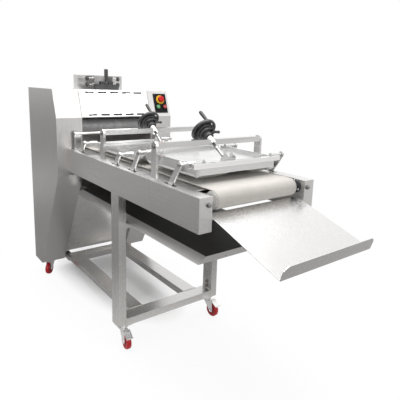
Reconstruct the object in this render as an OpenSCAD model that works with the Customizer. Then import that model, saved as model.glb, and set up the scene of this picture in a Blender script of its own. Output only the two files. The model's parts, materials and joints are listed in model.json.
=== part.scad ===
// Baguette moulder: dough rolls in a two column head, a belt table with two
// swinging pressure boards, a slide-out tray, a hinged outlet chute and a
// castered stand. Millimetres, floor at z 0, +X is the outlet end.

/* [Body] */
// Width of each side column across the machine
column_w = 154; // [130:1:180]
// How far the columns' inner faces stand inside the rails' inner faces
column_in = 22.5; // [18.5:0.5:24.5]
// Depth of the body from front face to rear face
body_depth = 530; // [480:1:600]
// Height of the body top above the floor
body_top = 1298; // [1260:1:1340]
// Height where the sloped head face meets the upright front
slope_foot = 1134; // [1120:1:1150]
// How far the sloped head face leans back
slope_back = 59; // [40:1:80]
// Height where the front starts to slope back to the foot
knee_z = 793; // [760:1:805]
// Depth of the column foot
foot_depth = 152; // [140:1:200]
// Height of the column foot above the floor
foot_z = 115; // [112:1:120]
// Sheet thickness of the housings
sheet = 3; // [2:0.5:4]
// Clearance at each side of the hinged head cover
cover_gap = 2.5; // [1:0.5:3]
// Height of the lower panel's bottom edge above the floor
low_panel_z = 170; // [165:1:215]

/* [Head cover] */
// Height of one cooling slot
slot_h = 11.5; // [6:0.5:12]
// Bar left between two cooling slots
slot_gap = 21; // [16:1:30]
// Distance of the outer slots from the cover's sides
slot_edge = 38; // [30:1:50]
// Diameter of the rolled hinge edge of the cover
hinge_d = 9; // [8:0.5:12]
// Diameter of the cover's hinge pins
hinge_pin_d = 5; // [4:0.5:6]

/* [Hopper] */
// Width of the hopper back plate
hopper_w = 340; // [300:1:380]
// Height of the hopper back plate above the body top
hopper_h = 90; // [70:1:110]
// Distance of the hopper back plate behind the body front
hopper_x = 290; // [280:1:310]
// Clear width between the hopper cheeks
throat_w = 124; // [110:1:140]
// Depth of the hopper throat
throat_d = 84; // [70:1:90]
// Diameter of the guide spindles
spindle_d = 10; // [8:0.5:12]
// Diameter of the lobed clamp knobs
knob_d = 30; // [24:1:34]
// Running clearance of shafts and pins, on the radius
run_fit = 0.05; // [0.02:0.01:0.1]

/* [Gap lever] */
// Length of the gap block across the machine
gap_block_w = 156; // [140:1:180]
// Width of the gap block's raised middle
gap_mid_w = 84; // [70:1:100]
// Height of the gap block
gap_block_h = 52; // [44:1:60]
// Length of the lever above its pivot
lever_len = 95; // [88:1:110]
// Width of the lever
lever_w = 17; // [14:1:22]
// Diameter of the lever pivot pin
lever_pin_d = 10; // [8:0.5:12]

/* [Rolls] */
// Diameter of the dough rolls
roll_d = 120; // [100:1:122]
// Gap between the dough rolls
roll_gap = 4; // [2:0.5:8]
// Height of the dough roll axes above the floor
roll_z = 1078; // [1070:1:1085]
// Diameter of the press roll in the mouth of the head
press_d = 100; // [80:1:104]
// Distance of the press roll axis behind the body front
press_x = 74; // [72:1:78]
// Height of the press roll axis above the floor
press_z = 1072; // [1066:1:1076]
// Diameter of the roll journals
journal_d = 25; // [20:1:30]
// Number of teeth on each roll gear
gear_teeth = 31; // [29:2:33]
// Width of the roll gears
gear_w = 20; // [15:1:25]

/* [Gear motor] */
// Diameter of the motor
motor_d = 96; // [80:1:100]
// Length of the motor below the gearbox
motor_l = 190; // [160:1:200]
// Width of the gearbox along the machine
gearbox_w = 116; // [100:1:120]
// Height of the gearbox
gearbox_h = 124; // [110:1:130]
// Thickness of the gearbox across the machine
gearbox_t = 70; // [60:1:76]
// Width and depth of the terminal box
term_w = 60; // [50:1:64]
// Height of the terminal box
term_h = 80; // [60:1:90]

/* [Controls] */
// Width of the control plate
plate_w = 94; // [84:1:100]
// Length of the control plate along the slope
plate_l = 131; // [120:1:140]
// Diameter of the emergency stop ring
estop_ring_d = 60; // [50:1:62]
// Diameter of the emergency stop head
estop_d = 40; // [32:1:42]
// Diameter of the push buttons
button_d = 24; // [18:1:26]
// Travel of the push buttons
button_travel = 4; // [2:0.5:5]
// Clearance round the buttons, on the radius
button_fit = 0.3; // [0.2:0.05:0.5]

/* [Rails] */
// Outer width across the two table rails
rails_w = 635; // [615:1:650]
// Width of one rail
rail_w = 60; // [52:1:64]
// Height of one rail
rail_h = 135; // [125:1:145]
// Height of the rail tops above the floor
rail_top = 950; // [940:1:955]
// Length of the rails from the body front
rail_len = 1282; // [1270:1:1300]
// Wall of the rails and stand tubes
tube_wall = 3; // [2:0.5:4]

/* [Belt] */
// Distance of the belt's edges inside the rails
belt_side = 37.5; // [35.5:0.5:47.5]
// Thickness of the belt
belt_t = 3; // [2:0.5:4]
// Height of the belt surface above the rail tops
belt_rise = 8; // [6:0.5:10]
// Diameter of the belt rollers
roller_d = 70; // [64:1:72]
// Distance of the outlet roller axis behind the rail ends
end_back = 51; // [48:1:60]
// Distance of the drive roller axis behind the body front
drive_back = 150; // [140:1:160]
// Diameter of the belt roller journals
roller_pin_d = 20; // [16:1:24]
// Gap between belt and rollers
belt_fit = 0.4; // [0.3:0.1:1]

/* [Bridges] */
// Place of the rear bridge, as a share of the rail length
bridge_rear_at = 0.3354; // [0.332:0.0001:0.339]
// Place of the front bridge, as a share of the rail length
bridge_front_at = 0.7332; // [0.73:0.0001:0.737]
// Height of the bridge tops above the rail tops
bridge_h = 158; // [152:1:165]
// Depth of the bridge bars
bar_d = 36; // [32:1:40]
// Height of the bridge bars
bar_h = 26; // [24:1:30]
// Width of the bridge posts along the machine
post_w = 40; // [36:1:44]
// Thickness of the bridge posts
post_t = 12; // [10:1:12]
// Distance of the bridge posts inside the rails' outer faces
post_in = 13.5; // [11.5:0.5:14.5]

/* [Pressure boards] */
// Distance of the pressure boards' sides inside the arms
board_in = 55; // [53:1:63]
// Radius of the front board's corners seen from above
corner_front = 32; // [24:1:34]
// Radius of the rear board's corners seen from above
corner_rear = 14; // [12:1:16]
// Height of the front pressure board
board_front_h = 58; // [54:1:60]
// Height of the rear pressure board
board_rear_h = 38; // [34:1:40]
// Height of the front board's underside above the belt
front_lift = 23; // [20:1:26]
// Height of the rear board's underside above the belt
rear_lift = 10; // [9:1:14]
// Rear end of the front board, as a share of the rail length
front_from_at = 0.5601; // [0.5585:0.0001:0.5645]
// Front end of the front board, as a share of the rail length
front_to_at = 0.8877; // [0.882:0.0001:0.89]
// Rear end of the rear board, as a share of the rail length
rear_from_at = 0.117; // [0.1135:0.0001:0.1245]
// Front end of the rear board, as a share of the rail length
rear_to_at = 0.5413; // [0.537:0.0001:0.542]
// Length of the turned-up ends
nose_l = 48; // [40:1:56]
// Depth of the shallow tray on top of the boards
pan_depth = 14; // [8:1:16]
// How far the front board's lip stands out at each side
lip_over = 15; // [8:1:18]
// Height of the arch in the boards' front edges
arch_h = 13; // [8:1:15]
// Distance of the arch from the front board's near side
arch_near = 128; // [110:1:140]
// Distance of the arch from the front board's far side
arch_far = 136; // [110:1:140]
// Length of the slopes at the ends of the arch
arch_ramp = 44; // [36:1:52]
// Distance of the two studs from the front board's sides
stud_in = 68; // [56:1:76]

/* [Swing arms] */
// Lean of the rear arms from upright, in degrees
rear_lean = 38; // [36:1:40]
// Lean of the front arms from upright, in degrees
front_lean = 34; // [32:1:36]
// Length of the rear arms between pivots
rear_arm_l = 126; // [124:1:128]
// Length of the front arms between pivots
front_arm_l = 165; // [163:1:167]
// Place of the rear board's first pivot, as a share of the rail length
rear_pin_a_at = 0.1232; // [0.121:0.0001:0.126]
// Place of the rear board's second pivot, as a share of the rail length
rear_pin_b_at = 0.4618; // [0.459:0.0001:0.465]
// Place of the front board's first pivot, as a share of the rail length
front_pin_a_at = 0.6131; // [0.61:0.0001:0.616]
// Place of the front board's second pivot, as a share of the rail length
front_pin_b_at = 0.8651; // [0.861:0.0001:0.867]
// Depth of the lower pivots below the rail tops
arm_drop = 45; // [42:1:48]
// Width of the flat arms
arm_w = 26; // [22:1:28]
// Thickness of the flat arms
arm_t = 8; // [6:1:8]
// Diameter of the torque shafts joining each pair of arms
torque_d = 18; // [16:1:20]
// Diameter of the upper arm pins
arm_pin_d = 11; // [9:1:12]
// Length of the arm slots in the rail tops
arm_slot_l = 86; // [84:1:92]

/* [Board screws] */
// Diameter of the handwheels
wheel_d = 125; // [110:1:130]
// Distance of the handwheel from the bridge along its screw
wheel_out = 72; // [70:1:78]
// Diameter of the screw spindles
screw_d = 12; // [11:1:14]
// Diameter of the screw tubes that push the boards
screw_tube_d = 15; // [14.5:0.5:17]
// Distance from the bridge to the screw tube's eye
eye_out = 130; // [127:1:132]
// Diameter of the crank handles
crank_d = 17; // [14:1:19]
// Length of the crank handles
crank_l = 66; // [56:1:72]

/* [Tray] */
// Height of the tray floor above the floor
tray_z = 695; // [690:1:700]
// Gap between the tray skirts and the legs
tray_side = 3.5; // [2.5:0.5:7.5]
// How far the tray skirts flare out at each side
skirt_out = 38; // [34:1:42]
// Height of the tray skirts
skirt_h = 27; // [24:1:30]
// Distance of the tray front from the body front
tray_to = 1228; // [1200:1:1240]
// Distance of the tray's inner end behind the body front
tray_back = 20; // [10:1:25]
// Thickness of the tray sheet
tray_t = 3; // [2:0.5:3]

/* [Chute] */
// Gap between the chute's sides and the rails
chute_side = 7.5; // [5.5:0.5:17.5]
// Slope of the chute in degrees
chute_slope = 17.7; // [15:0.1:20]
// Length of the chute down its slope
chute_l = 392; // [380:1:410]
// Height of the chute's end lip
lip_h = 50; // [40:1:60]
// Thickness of the chute sheet
chute_t = 3; // [2:0.5:3]
// Diameter of the chute's hinge rod
chute_rod_d = 12; // [10:1:14]

/* [Stand] */
// Depth of the front legs along the machine
leg_d = 80; // [74:1:84]
// Width of the front legs across the machine
leg_w = 40; // [36:1:44]
// Front face of the legs from the body front
leg_x = 640; // [632:1:650]
// Height of the bottom frame tubes
beam_h = 40; // [36:1:44]
// Width over the long bottom tubes
long_w = 436; // [420:1:444]

/* [Casters] */
// Diameter of the caster wheels
caster_d = 80; // [76:1:82]
// Width of the caster wheels
caster_w = 26; // [22:1:28]
// Distance of the wheel axle from the swivel axis
trail = 40; // [36:1:42]
// Diameter of the swivel stems
stem_d = 14; // [12:1:16]
// Diameter of the wheel axles
axle_d = 10; // [8:1:12]

/* [Mat bar] */
// Diameter of the curling mat bar
mat_bar_d = 14; // [12:1:18]
// Distance of the curling mat bar from the body front
mat_bar_x = 36; // [34:1:40]
// Width of the curling mat bar's feet
mat_foot_w = 42; // [36:1:44]
// Height of the curling mat bar above the rail tops
mat_bar_h = 95; // [90:1:100]

/* [Hidden] */
$fn = 48;
steel = [0.72, 0.72, 0.72];
dark = [0.2, 0.2, 0.2];
half_rails = rails_w / 2;
rail_in = half_rails - rail_w;
half_gap = rail_in - column_in;
half_body = half_gap + column_w;
half_cover = half_gap - cover_gap;
slot_len = (2 * half_cover - 2 * slot_edge - 4 * slot_gap) / 5;
slot_pitch = slot_len + slot_gap;
rail_mid = half_rails - rail_w / 2;
rail_bot = rail_top - rail_h;
// Belt
belt_w = 2 * (rail_in - belt_side);
belt_top = rail_top + belt_rise;
roller_r = roller_d / 2;
belt_in_r = roller_r + belt_fit;
belt_out_r = belt_in_r + belt_t;
roller_z = belt_top - belt_out_r;
end_x = rail_len - end_back;
drive_x = -drive_back;
// Rolls and gears
roll_r = roll_d / 2;
boss_l = 24;
roll_pitch = roll_d + roll_gap;
nip_x = -hopper_x + throat_d / 2;
front_roll_x = nip_x + roll_pitch / 2;
rear_roll_x = nip_x - roll_pitch / 2;
press_roll_x = -press_x;
// Tray and chute
tray_skirt_w = 2 * (half_rails - leg_w - tray_side);
tray_w = tray_skirt_w - 2 * skirt_out;
chute_w = 2 * (rail_in - chute_side);
chute_px = end_x + 27;
chute_pz = roller_z - belt_out_r - 20;
chute_c = cos(chute_slope);
chute_s = sin(chute_slope);
chute_up = 14;
chute_skin = chute_rod_d / 2 + 1;
peg_d = 8;
peg_dx = 14;
peg_dz = (chute_skin - peg_d / 2 - 0.5) / chute_c - peg_dx * tan(chute_slope);
bolt_d = 10;
bolt_play = 0.6;
tip_x = chute_px + (chute_l - chute_up) * chute_c + (chute_skin + chute_t + lip_h) * chute_s;
// Whole machine centred on the origin along X
x_mid = (tip_x - body_depth) / 2;
// Places along the rails
bridge_rear_x = rail_len * bridge_rear_at;
bridge_front_x = rail_len * bridge_front_at;
posts_w = rails_w - 2 * post_in;
front_from = rail_len * front_from_at;
front_to = rail_len * front_to_at;
rear_from = rail_len * rear_from_at;
rear_to = rail_len * rear_to_at;
rear_pin_a = rail_len * rear_pin_a_at;
rear_pin_b = rail_len * rear_pin_b_at;
front_pin_a = rail_len * front_pin_a_at;
front_pin_b = rail_len * front_pin_b_at;
// Swing arms
pivot_z = rail_top - arm_drop;
rear_dx = rear_arm_l * sin(rear_lean);
rear_dz = rear_arm_l * cos(rear_lean);
front_dx = front_arm_l * sin(front_lean);
front_dz = front_arm_l * cos(front_lean);
rear_low_a = rear_pin_a - rear_dx;
rear_low_b = rear_pin_b - rear_dx;
front_low_a = front_pin_a - front_dx;
front_low_b = front_pin_b - front_dx;
arm_y = posts_w / 2 - post_t - 1 - arm_t;
// Boards
front_bot = belt_top + front_lift;
rear_bot = belt_top + rear_lift;
half_board = arm_y - board_in;
// Bridges and screws
bridge_top = rail_top + bridge_h;
axis_z = bridge_top - 8;
post_round_z = bridge_top - 16;
boss_out = 20;
housing_out = 48;
lock_out = 31;
housing_r = 24;
housing_rim = 37;
hub_r = 46;
lock_z = housing_r - screw_d / 2 + 0.3;
tube_top = 46;
eye_half = 13;
lug_out = 26;
eye_neck = 26;
spindle_end = eye_out - eye_neck - 6 - 19;
// Stand and casters
leg_bot = foot_z;
leg_bolts = [leg_bot + beam_h + 16, leg_bot + beam_h + 44];
slide_fit = 0.5;
caster_r = caster_d / 2;
front_stem = [leg_x - 26, half_rails - leg_w + 1, 0];
rear_stem = [-body_depth + 62, half_gap + 63, 0];
front_turn = -6;
rear_turn = -44;
rear_far_turn = 136;
// Slope of the head
slope_a = atan2(slope_back, body_top - slope_foot);
hinge_x = -slope_back - hinge_d / 2;
hinge_z = body_top - hinge_d / 2;
slope_l = sqrt(pow(slope_back, 2) + pow(body_top - slope_foot, 2));
foot_x = -body_depth + foot_depth;
low_k = -foot_x / (knee_z - foot_z);
gap_x = -hopper_x + throat_d + 34;
gap_pivot_z = body_top + gap_block_h - 14;

// Shared helpers

// Draws in machine coordinates, body front at x 0
module machine() {
    translate([-x_mid, 0, 0]) children();
}

// Extrudes a side view (x, z) from y0 to y1
module slab(y0, y1) {
    translate([0, y1, 0]) rotate([90, 0, 0]) linear_extrude(y1 - y0) children();
}

// Box from corner to corner
module box(a, b) {
    translate(a) cube(b - a);
}

// Cylinder along Y from y0 to y1
module rod_y(x, z, d, y0, y1) {
    translate([x, y0, z]) rotate([-90, 0, 0]) cylinder(d = d, h = y1 - y0);
}

// Places children on the sloped head face: x along the slope upwards is y here, out of the face is z
module on_slope(y, up) {
    translate([0, y, slope_foot]) rotate([0, -slope_a, 0]) translate([0, 0, up]) rotate([90, 0, 90])
        children();
}

// Places children on a board screw's axis, z pointing up and back to the handwheel
module on_screw(bx, lean) {
    translate([bx, 0, axis_z]) rotate([0, -90 + lean, 0]) children();
}

module both_sides() {
    children();
    mirror([0, 1, 0]) children();
}

// Body

// Side view of a column, drawn inward by t
module column_side(t) {
    l1 = sqrt(1 + low_k * low_k);
    l2 = slope_l / (body_top - slope_foot);
    k2 = slope_back / (body_top - slope_foot);
    polygon([
        [-body_depth + t, foot_z + t],
        [foot_x + low_k * t - t * l1, foot_z + t],
        [-t, knee_z + t * (l1 - 1) / low_k],
        [-t, slope_foot + t * (1 - l2) / k2],
        [-slope_back + k2 * t - t * l2, body_top - t],
        [-body_depth + t, body_top - t]]);
}

// One column, drawn on the +Y side
module column(motor) {
    difference() {
        union() {
            difference() {
                slab(half_gap, half_body) column_side(0);
                slab(half_gap + sheet, half_body - sheet) column_side(sheet);
            }
            for (x = [front_roll_x, rear_roll_x])
                rod_y(x, roll_z, journal_d + 30, half_gap, half_gap + boss_l);
            rod_y(press_roll_x, press_z, journal_d + 30, half_gap, half_gap + boss_l);
            rod_y(drive_x, roller_z, roller_pin_d + 24, half_gap, half_gap + 20);
            translate([rear_stem[0], rear_stem[1], foot_z]) cylinder(d = stem_d + 20, h = 26);
        }
        for (x = [front_roll_x, rear_roll_x])
            rod_y(x, roll_z, journal_d + 2 * run_fit, half_gap - 1, half_gap + boss_l + 1);
        rod_y(press_roll_x, press_z, journal_d + 2 * run_fit, half_gap - 1, half_gap + boss_l + 1);
        rod_y(drive_x, roller_z, roller_pin_d + 2 * run_fit, half_gap - 1, half_gap + boss_l + 1);
        translate([rear_stem[0], rear_stem[1], foot_z - 1]) cylinder(d = stem_d + 2 * run_fit, h = 24);
        rod_y(hinge_x, hinge_z, hinge_pin_d + 2 * run_fit, half_gap - 1, half_gap + sheet + 0.2);
        if (motor)
            for (i = [0 : 6])
                box([-body_depth - 1, half_gap + 40, roll_z - 200 + i * 18],
                    [-body_depth + sheet + 1, half_body - 40, roll_z - 193 + i * 18]);
    }
}

module near_column() {
    color(steel) machine() mirror([0, 1, 0]) column(false);
}

module far_column() {
    color(steel) machine() column(true);
}

module rear_panel() {
    w = half_gap;
    top = body_top - sheet;
    color(steel) machine() difference() {
        union() {
            box([-body_depth, -w, foot_z], [-body_depth + sheet, w, top]);
            both_sides() box([-body_depth, w - sheet, foot_z], [-body_depth + 24, w, top]);
        }
        for (i = [0 : 5], y = [-110, 110])
            box([-body_depth - 1, y - 80, 420 + i * 26], [-body_depth + sheet + 1, y + 80, 428 + i * 26]);
    }
}

// Slanted panel that closes the space between the columns below the table
module lower_panel() {
    w = half_gap;
    top = tray_z - skirt_h - 40;
    bot = low_panel_z;
    x_low = foot_x - 22 + (bot - foot_z) * low_k;
    x_top = x_low + (top - bot) * low_k;
    color(steel) machine() slab(-w, w) polygon([
        [x_low - 40, bot],
        [x_low, bot],
        [x_top, top],
        [x_top - 60, top],
        [x_top - 60, top - sheet],
        [x_top - sheet * 1.6, top - sheet],
        [x_low - sheet, bot + sheet],
        [x_low - 40, bot + sheet]]);
}

module top_panel() {
    w = half_gap;
    x1 = -slope_back - hinge_d - 2;
    color(steel) machine() difference() {
        union() {
            box([-body_depth, -w, body_top - sheet], [x1, w, body_top]);
            box([x1 - sheet, -w, body_top - 20], [x1, w, body_top]);
        }
        box([-hopper_x, -throat_w / 2, body_top - 30], [-hopper_x + throat_d, throat_w / 2, body_top + 1]);
    }
}

module head_cover() {
    w = half_cover;
    color(steel) machine() difference() {
        union() {
            on_slope(0, 0) translate([-w, 3, -sheet]) cube([2 * w, slope_l - 8, sheet]);
            on_slope(0, 0) translate([-w, 3, -22]) cube([2 * w, sheet, 22]);
            both_sides() on_slope(0, 0) translate([w - sheet, 3, -26]) cube([sheet, slope_l - 30, 26]);
            rod_y(hinge_x, hinge_z, hinge_d, -w, w);
            rod_y(hinge_x, hinge_z, hinge_pin_d, -half_gap - sheet, half_gap + sheet);
        }
        for (i = [-2 : 2], up = [16, slope_l - 16])
            on_slope(i * slot_pitch, up) translate([0, 0, -sheet - 1]) slot_cut();
    }
}

// One rounded cooling slot
module slot_cut() {
    s = (slot_len - slot_h) / 2;
    translate([-s, -slot_h / 2, 0]) cube([2 * s, slot_h, sheet + 2]);
    for (x = [-s, s])
        translate([x, 0, 0]) cylinder(d = slot_h, h = sheet + 2);
}

// Hopper

hop_z1 = body_top + 30;
hop_z2 = body_top + 70;
guide_x = -hopper_x + throat_d - 18;
cheek_y = throat_w / 2;
knob_out = 35;

module hopper_frame() {
    color(steel) machine() difference() {
        union() {
            box([-hopper_x - sheet, -hopper_w / 2, body_top], [-hopper_x, hopper_w / 2, body_top + hopper_h]);
            box([-hopper_x - 26, -hopper_w / 2, body_top], [-hopper_x, hopper_w / 2, body_top + sheet]);
            both_sides() box([-hopper_x, cheek_y, body_top],
                [-hopper_x + throat_d, cheek_y + sheet, body_top + hopper_h - 4]);
            both_sides() for (z = [hop_z1, hop_z2])
                rod_y(guide_x, z, spindle_d + 10, cheek_y, cheek_y + 14);
        }
        both_sides() for (z = [hop_z1, hop_z2])
            rod_y(guide_x, z, spindle_d + 2 * run_fit, cheek_y - 1, cheek_y + 15);
    }
}

// Side guide with its two spindles, drawn on the +Y side
module guide() {
    box([-hopper_x + 1.5, cheek_y - sheet - 1, body_top - 20],
        [-hopper_x + throat_d - 1.5, cheek_y - 1, body_top + hopper_h - 6]);
    for (z = [hop_z1, hop_z2])
        rod_y(guide_x, z, spindle_d, cheek_y - 2, cheek_y + knob_out + 18);
}

// Two lobed knobs on the spindle ends, drawn on the +Y side
module knobs() {
    for (z = [hop_z1, hop_z2])
        translate([guide_x, cheek_y + knob_out, z]) rotate([-90, 0, 0]) difference() {
            union() {
                cylinder(d = knob_d * 0.62, h = 20);
                translate([0, 0, 3]) linear_extrude(14) knob_lobes();
            }
            translate([0, 0, -1]) cylinder(d = spindle_d, h = 22);
        }
}

// Five-lobed outline
module knob_lobes() {
    circle(d = knob_d * 0.74);
    for (a = [0 : 72 : 359])
        rotate(a + 9) translate([knob_d * 0.33, 0]) circle(d = knob_d * 0.34);
}

module guide_near() {
    color(steel) machine() mirror([0, 1, 0]) guide();
}

module guide_far() {
    color(steel) machine() guide();
}

module knobs_near() {
    color(dark) machine() mirror([0, 1, 0]) knobs();
}

module knobs_far() {
    color(dark) machine() knobs();
}

module gap_block() {
    w = gap_block_w / 2;
    color(dark) machine() difference() {
        union() {
            box([gap_x - 22, -w, body_top], [gap_x + 22, w, body_top + gap_block_h - 18]);
            box([gap_x - 16, -gap_mid_w / 2, body_top], [gap_x + 16, gap_mid_w / 2, body_top + gap_block_h]);
        }
        box([gap_x - 17, -lever_w / 2 - 3, body_top + 6],
            [gap_x + 17, lever_w / 2 + 3, body_top + gap_block_h + 1]);
        rod_y(gap_x, gap_pivot_z, lever_pin_d + 2 * run_fit, -lever_w / 2 - 13, lever_w / 2 + 13);
    }
}

// Flat lever with a grip bulb, on a cross pin in the gap block
module gap_lever() {
    color(dark) machine() union() {
        box([gap_x - 5, -lever_w / 2, gap_pivot_z], [gap_x + 5, lever_w / 2, gap_pivot_z + lever_len - 10]);
        rod_y(gap_x, gap_pivot_z, 24, -lever_w / 2, lever_w / 2);
        rod_y(gap_x, gap_pivot_z, lever_pin_d, -lever_w / 2 - 12, lever_w / 2 + 12);
        rod_y(gap_x, gap_pivot_z + lever_len - 10, 16, -lever_w / 2 - 1.5, lever_w / 2 + 1.5);
        box([gap_x - 8, -lever_w / 2 - 1.5, gap_pivot_z + lever_len - 52],
            [gap_x + 8, lever_w / 2 + 1.5, gap_pivot_z + lever_len - 10]);
    }
}

// Dough rolls

// Roll on its axis along +Y, gear at the near end
module dough_roll(far_end) {
    w = half_gap - 4;
    rod_y(0, 0, roll_d, -w, w);
    rod_y(0, 0, journal_d, -half_gap - 60, half_gap + far_end);
    translate([0, -half_gap - 34, 0]) rotate([90, 0, 0]) gear();
}

// Spur gear with plain tapered teeth
module gear() {
    pr = roll_pitch / 2;
    step = 360 / gear_teeth;
    tooth = pr * PI / gear_teeth * 0.42;
    linear_extrude(gear_w) {
        circle(r = pr - 4.4);
        for (i = [0 : gear_teeth - 1])
            rotate(i * step) polygon([[pr - 6, -tooth * 1.4], [pr + 3.2, -tooth * 0.6],
                [pr + 3.2, tooth * 0.6], [pr - 6, tooth * 1.4]]);
    }
}

module roll_front() {
    color(dark) machine() translate([front_roll_x, 0, roll_z]) dough_roll(boss_l - 1);
}

module roll_rear() {
    color(dark) machine() translate([rear_roll_x, 0, roll_z]) dough_roll(boss_l + 2 + gearbox_t);
}

// Plain idle roll in the mouth of the head
module roll_press() {
    w = half_gap - 4;
    color(dark) machine() union() {
        rod_y(press_roll_x, press_z, press_d, -w, w);
        rod_y(press_roll_x, press_z, journal_d, -half_gap - boss_l + 1, half_gap + boss_l - 1);
    }
}

// Hollow shaft gear motor on the rear roll's far journal
module gearmotor() {
    y0 = half_gap + boss_l + 6;
    ym = y0 + gearbox_t / 2;
    z0 = roll_z - gearbox_h / 2;
    x = rear_roll_x;
    color(dark) machine() difference() {
        union() {
            box([x - gearbox_w / 2, y0, z0], [x + gearbox_w / 2, y0 + gearbox_t, roll_z + gearbox_h / 2]);
            translate([x, ym, z0 - motor_l + 2]) cylinder(d = motor_d, h = motor_l - 10);
            translate([x, ym, z0 - 9]) cylinder(d = motor_d * 0.7, h = 12);
            for (i = [0 : 5])
                translate([x, ym, z0 - motor_l * (0.92 - i * 0.115)]) cylinder(d = motor_d + 8, h = 6);
            box([x - motor_d / 2 - term_w + 8, ym - term_w / 2, z0 - motor_l * 0.75],
                [x - motor_d / 2 + 8, ym + term_w / 2, z0 - motor_l * 0.75 + term_h]);
            rod_y(x, roll_z, journal_d + 26, half_gap + boss_l, y0 + 1);
        }
        rod_y(x, roll_z, journal_d + 2 * run_fit, half_gap + boss_l - 1, y0 + gearbox_t + 1);
    }
}

// Controls

ctrl_y = half_gap + column_w / 2 + 12;
ctrl_up = slope_l / 2 + 1;
estop_up = ctrl_up + 24;
btn_up = ctrl_up - 26;
btn_dy = 26;

module control_plate() {
    color(dark) machine() difference() {
        union() {
            on_slope(ctrl_y, ctrl_up) translate([-plate_w / 2, -plate_l / 2, 0]) cube([plate_w, plate_l, 5]);
            for (s = [-1, 1])
                on_slope(ctrl_y + s * btn_dy, btn_up) cylinder(d = button_d + 8, h = 10);
            on_slope(ctrl_y, estop_up) cylinder(d = estop_d - 6, h = 12);
        }
        for (s = [-1, 1])
            on_slope(ctrl_y + s * btn_dy, btn_up) translate([0, 0, 3])
                cylinder(d = button_d + 2 * button_fit, h = 8);
        on_slope(ctrl_y, estop_up) translate([0, 0, 3]) cylinder(d = estop_d * 0.5 + 2 * button_fit, h = 12);
    }
}

module estop_ring() {
    color("gold") machine() on_slope(ctrl_y, estop_up) translate([0, 0, 5]) difference() {
        cylinder(d = estop_ring_d, h = 3);
        translate([0, 0, -1]) cylinder(d = estop_d - 6, h = 5);
    }
}

// Mushroom head with its stem, one turned solid
module estop_head() {
    r = estop_d / 2;
    color("red") machine() on_slope(ctrl_y, estop_up) rotate_extrude() polygon([
        [0, 8], [estop_d * 0.25, 8], [estop_d * 0.25, 17], [r - 1, 17], [r, 19], [r, 25], [r - 2, 29],
            [r - 7, 31], [0, 32]]);
}

module button(s) {
    on_slope(ctrl_y + s * btn_dy, btn_up) translate([0, 0, 3 + button_travel + 0.5])
        cylinder(d = button_d, h = 9);
}

module start_button() {
    color("green") machine() button(-1);
}

module stop_button() {
    color("red") machine() button(1);
}

// Table

// One rail, drawn on the +Y side
module rail() {
    difference() {
        union() {
            difference() {
                box([0, rail_in, rail_bot], [rail_len, half_rails, rail_top]);
                box([tube_wall, rail_in + tube_wall, rail_bot + tube_wall],
                    [rail_len - tube_wall, half_rails - tube_wall, rail_top - tube_wall]);
            }
            for (p = [rear_low_a, rear_low_b, front_low_a, front_low_b])
                rod_y(p, pivot_z, torque_d + 12, rail_in, rail_in + 12);
            rod_y(end_x, roller_z, roller_pin_d + 16, rail_in, rail_in + 12);
            rod_y(chute_px, chute_pz, chute_rod_d + 12, rail_in, rail_in + 10);
            rod_y(chute_px + peg_dx, chute_pz + peg_dz, peg_d, rail_in - 14, rail_in + 4);
        }
        translate([rail_len - 20, rail_mid - 12, roller_z]) rotate([0, 90, 0])
            cylinder(d = bolt_d + bolt_play, h = 30);
        for (p = [rear_low_a, rear_low_b, front_low_a, front_low_b])
            rod_y(p, pivot_z, torque_d + 2 * run_fit, rail_in - 1, rail_in + 13);
        rod_y(end_x, roller_z, roller_pin_d + 2 * run_fit, rail_in - 1, rail_in + 13);
        rod_y(chute_px, chute_pz, chute_rod_d + 2 * run_fit, rail_in - 1, rail_in + 11);
        for (p = [[rear_low_a, rear_lean], [rear_low_b, rear_lean], [front_low_a, front_lean],
            [front_low_b, front_lean]])
            arm_slot(p[0] + arm_drop * tan(p[1]) - 2);
    }
}

// Slot in the rail top for one swing arm
module arm_slot(x) {
    w = arm_t + 5;
    y = arm_y + arm_t / 2;
    box([x - arm_slot_l / 2, y - w / 2, rail_top - tube_wall - 1],
        [x + arm_slot_l / 2, y + w / 2, rail_top + 1]);
}

module near_rail() {
    color(steel) machine() mirror([0, 1, 0]) rail();
}

module far_rail() {
    color(steel) machine() rail();
}

// Slider bed: raised middle under the belt, lower edges out to the rails
module bed_plate() {
    up = belt_top - belt_t - 0.3;
    low = rail_top - 1;
    mid = belt_w / 2 - 14;
    x1 = end_x - belt_out_r - 12;
    color(steel) machine() union() {
        box([drive_x + belt_out_r + 14, -mid, up - 4], [x1, mid, up]);
        both_sides() box([2, mid - 3, low - 3], [x1, rail_in, low]);
        both_sides() box([2, mid - 3, low - 3], [x1, mid, up]);
        both_sides() box([2, rail_in - 3, low - 22], [x1, rail_in, low]);
    }
}

// Belt round both rollers
module belt() {
    w = belt_w / 2;
    color([0.9, 0.88, 0.83]) machine() difference() {
        belt_loop(belt_out_r, w);
        belt_loop(belt_in_r, w + 1);
    }
}

module belt_loop(r, w) {
    rod_y(drive_x, roller_z, 2 * r, -w, w);
    rod_y(end_x, roller_z, 2 * r, -w, w);
    box([drive_x, -w, roller_z - r], [end_x, w, roller_z + r]);
}

module belt_roller(x, half) {
    w = belt_w / 2 + 2;
    rod_y(x, roller_z, roller_d, -w, w);
    rod_y(x, roller_z, roller_pin_d, -half, half);
}

module drive_roller() {
    color(dark) machine() belt_roller(drive_x, half_gap + 19);
}

module end_roller() {
    color("white") machine() belt_roller(end_x, rail_in + 11);
}

// Bridges with their inclined screw bosses

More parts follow.
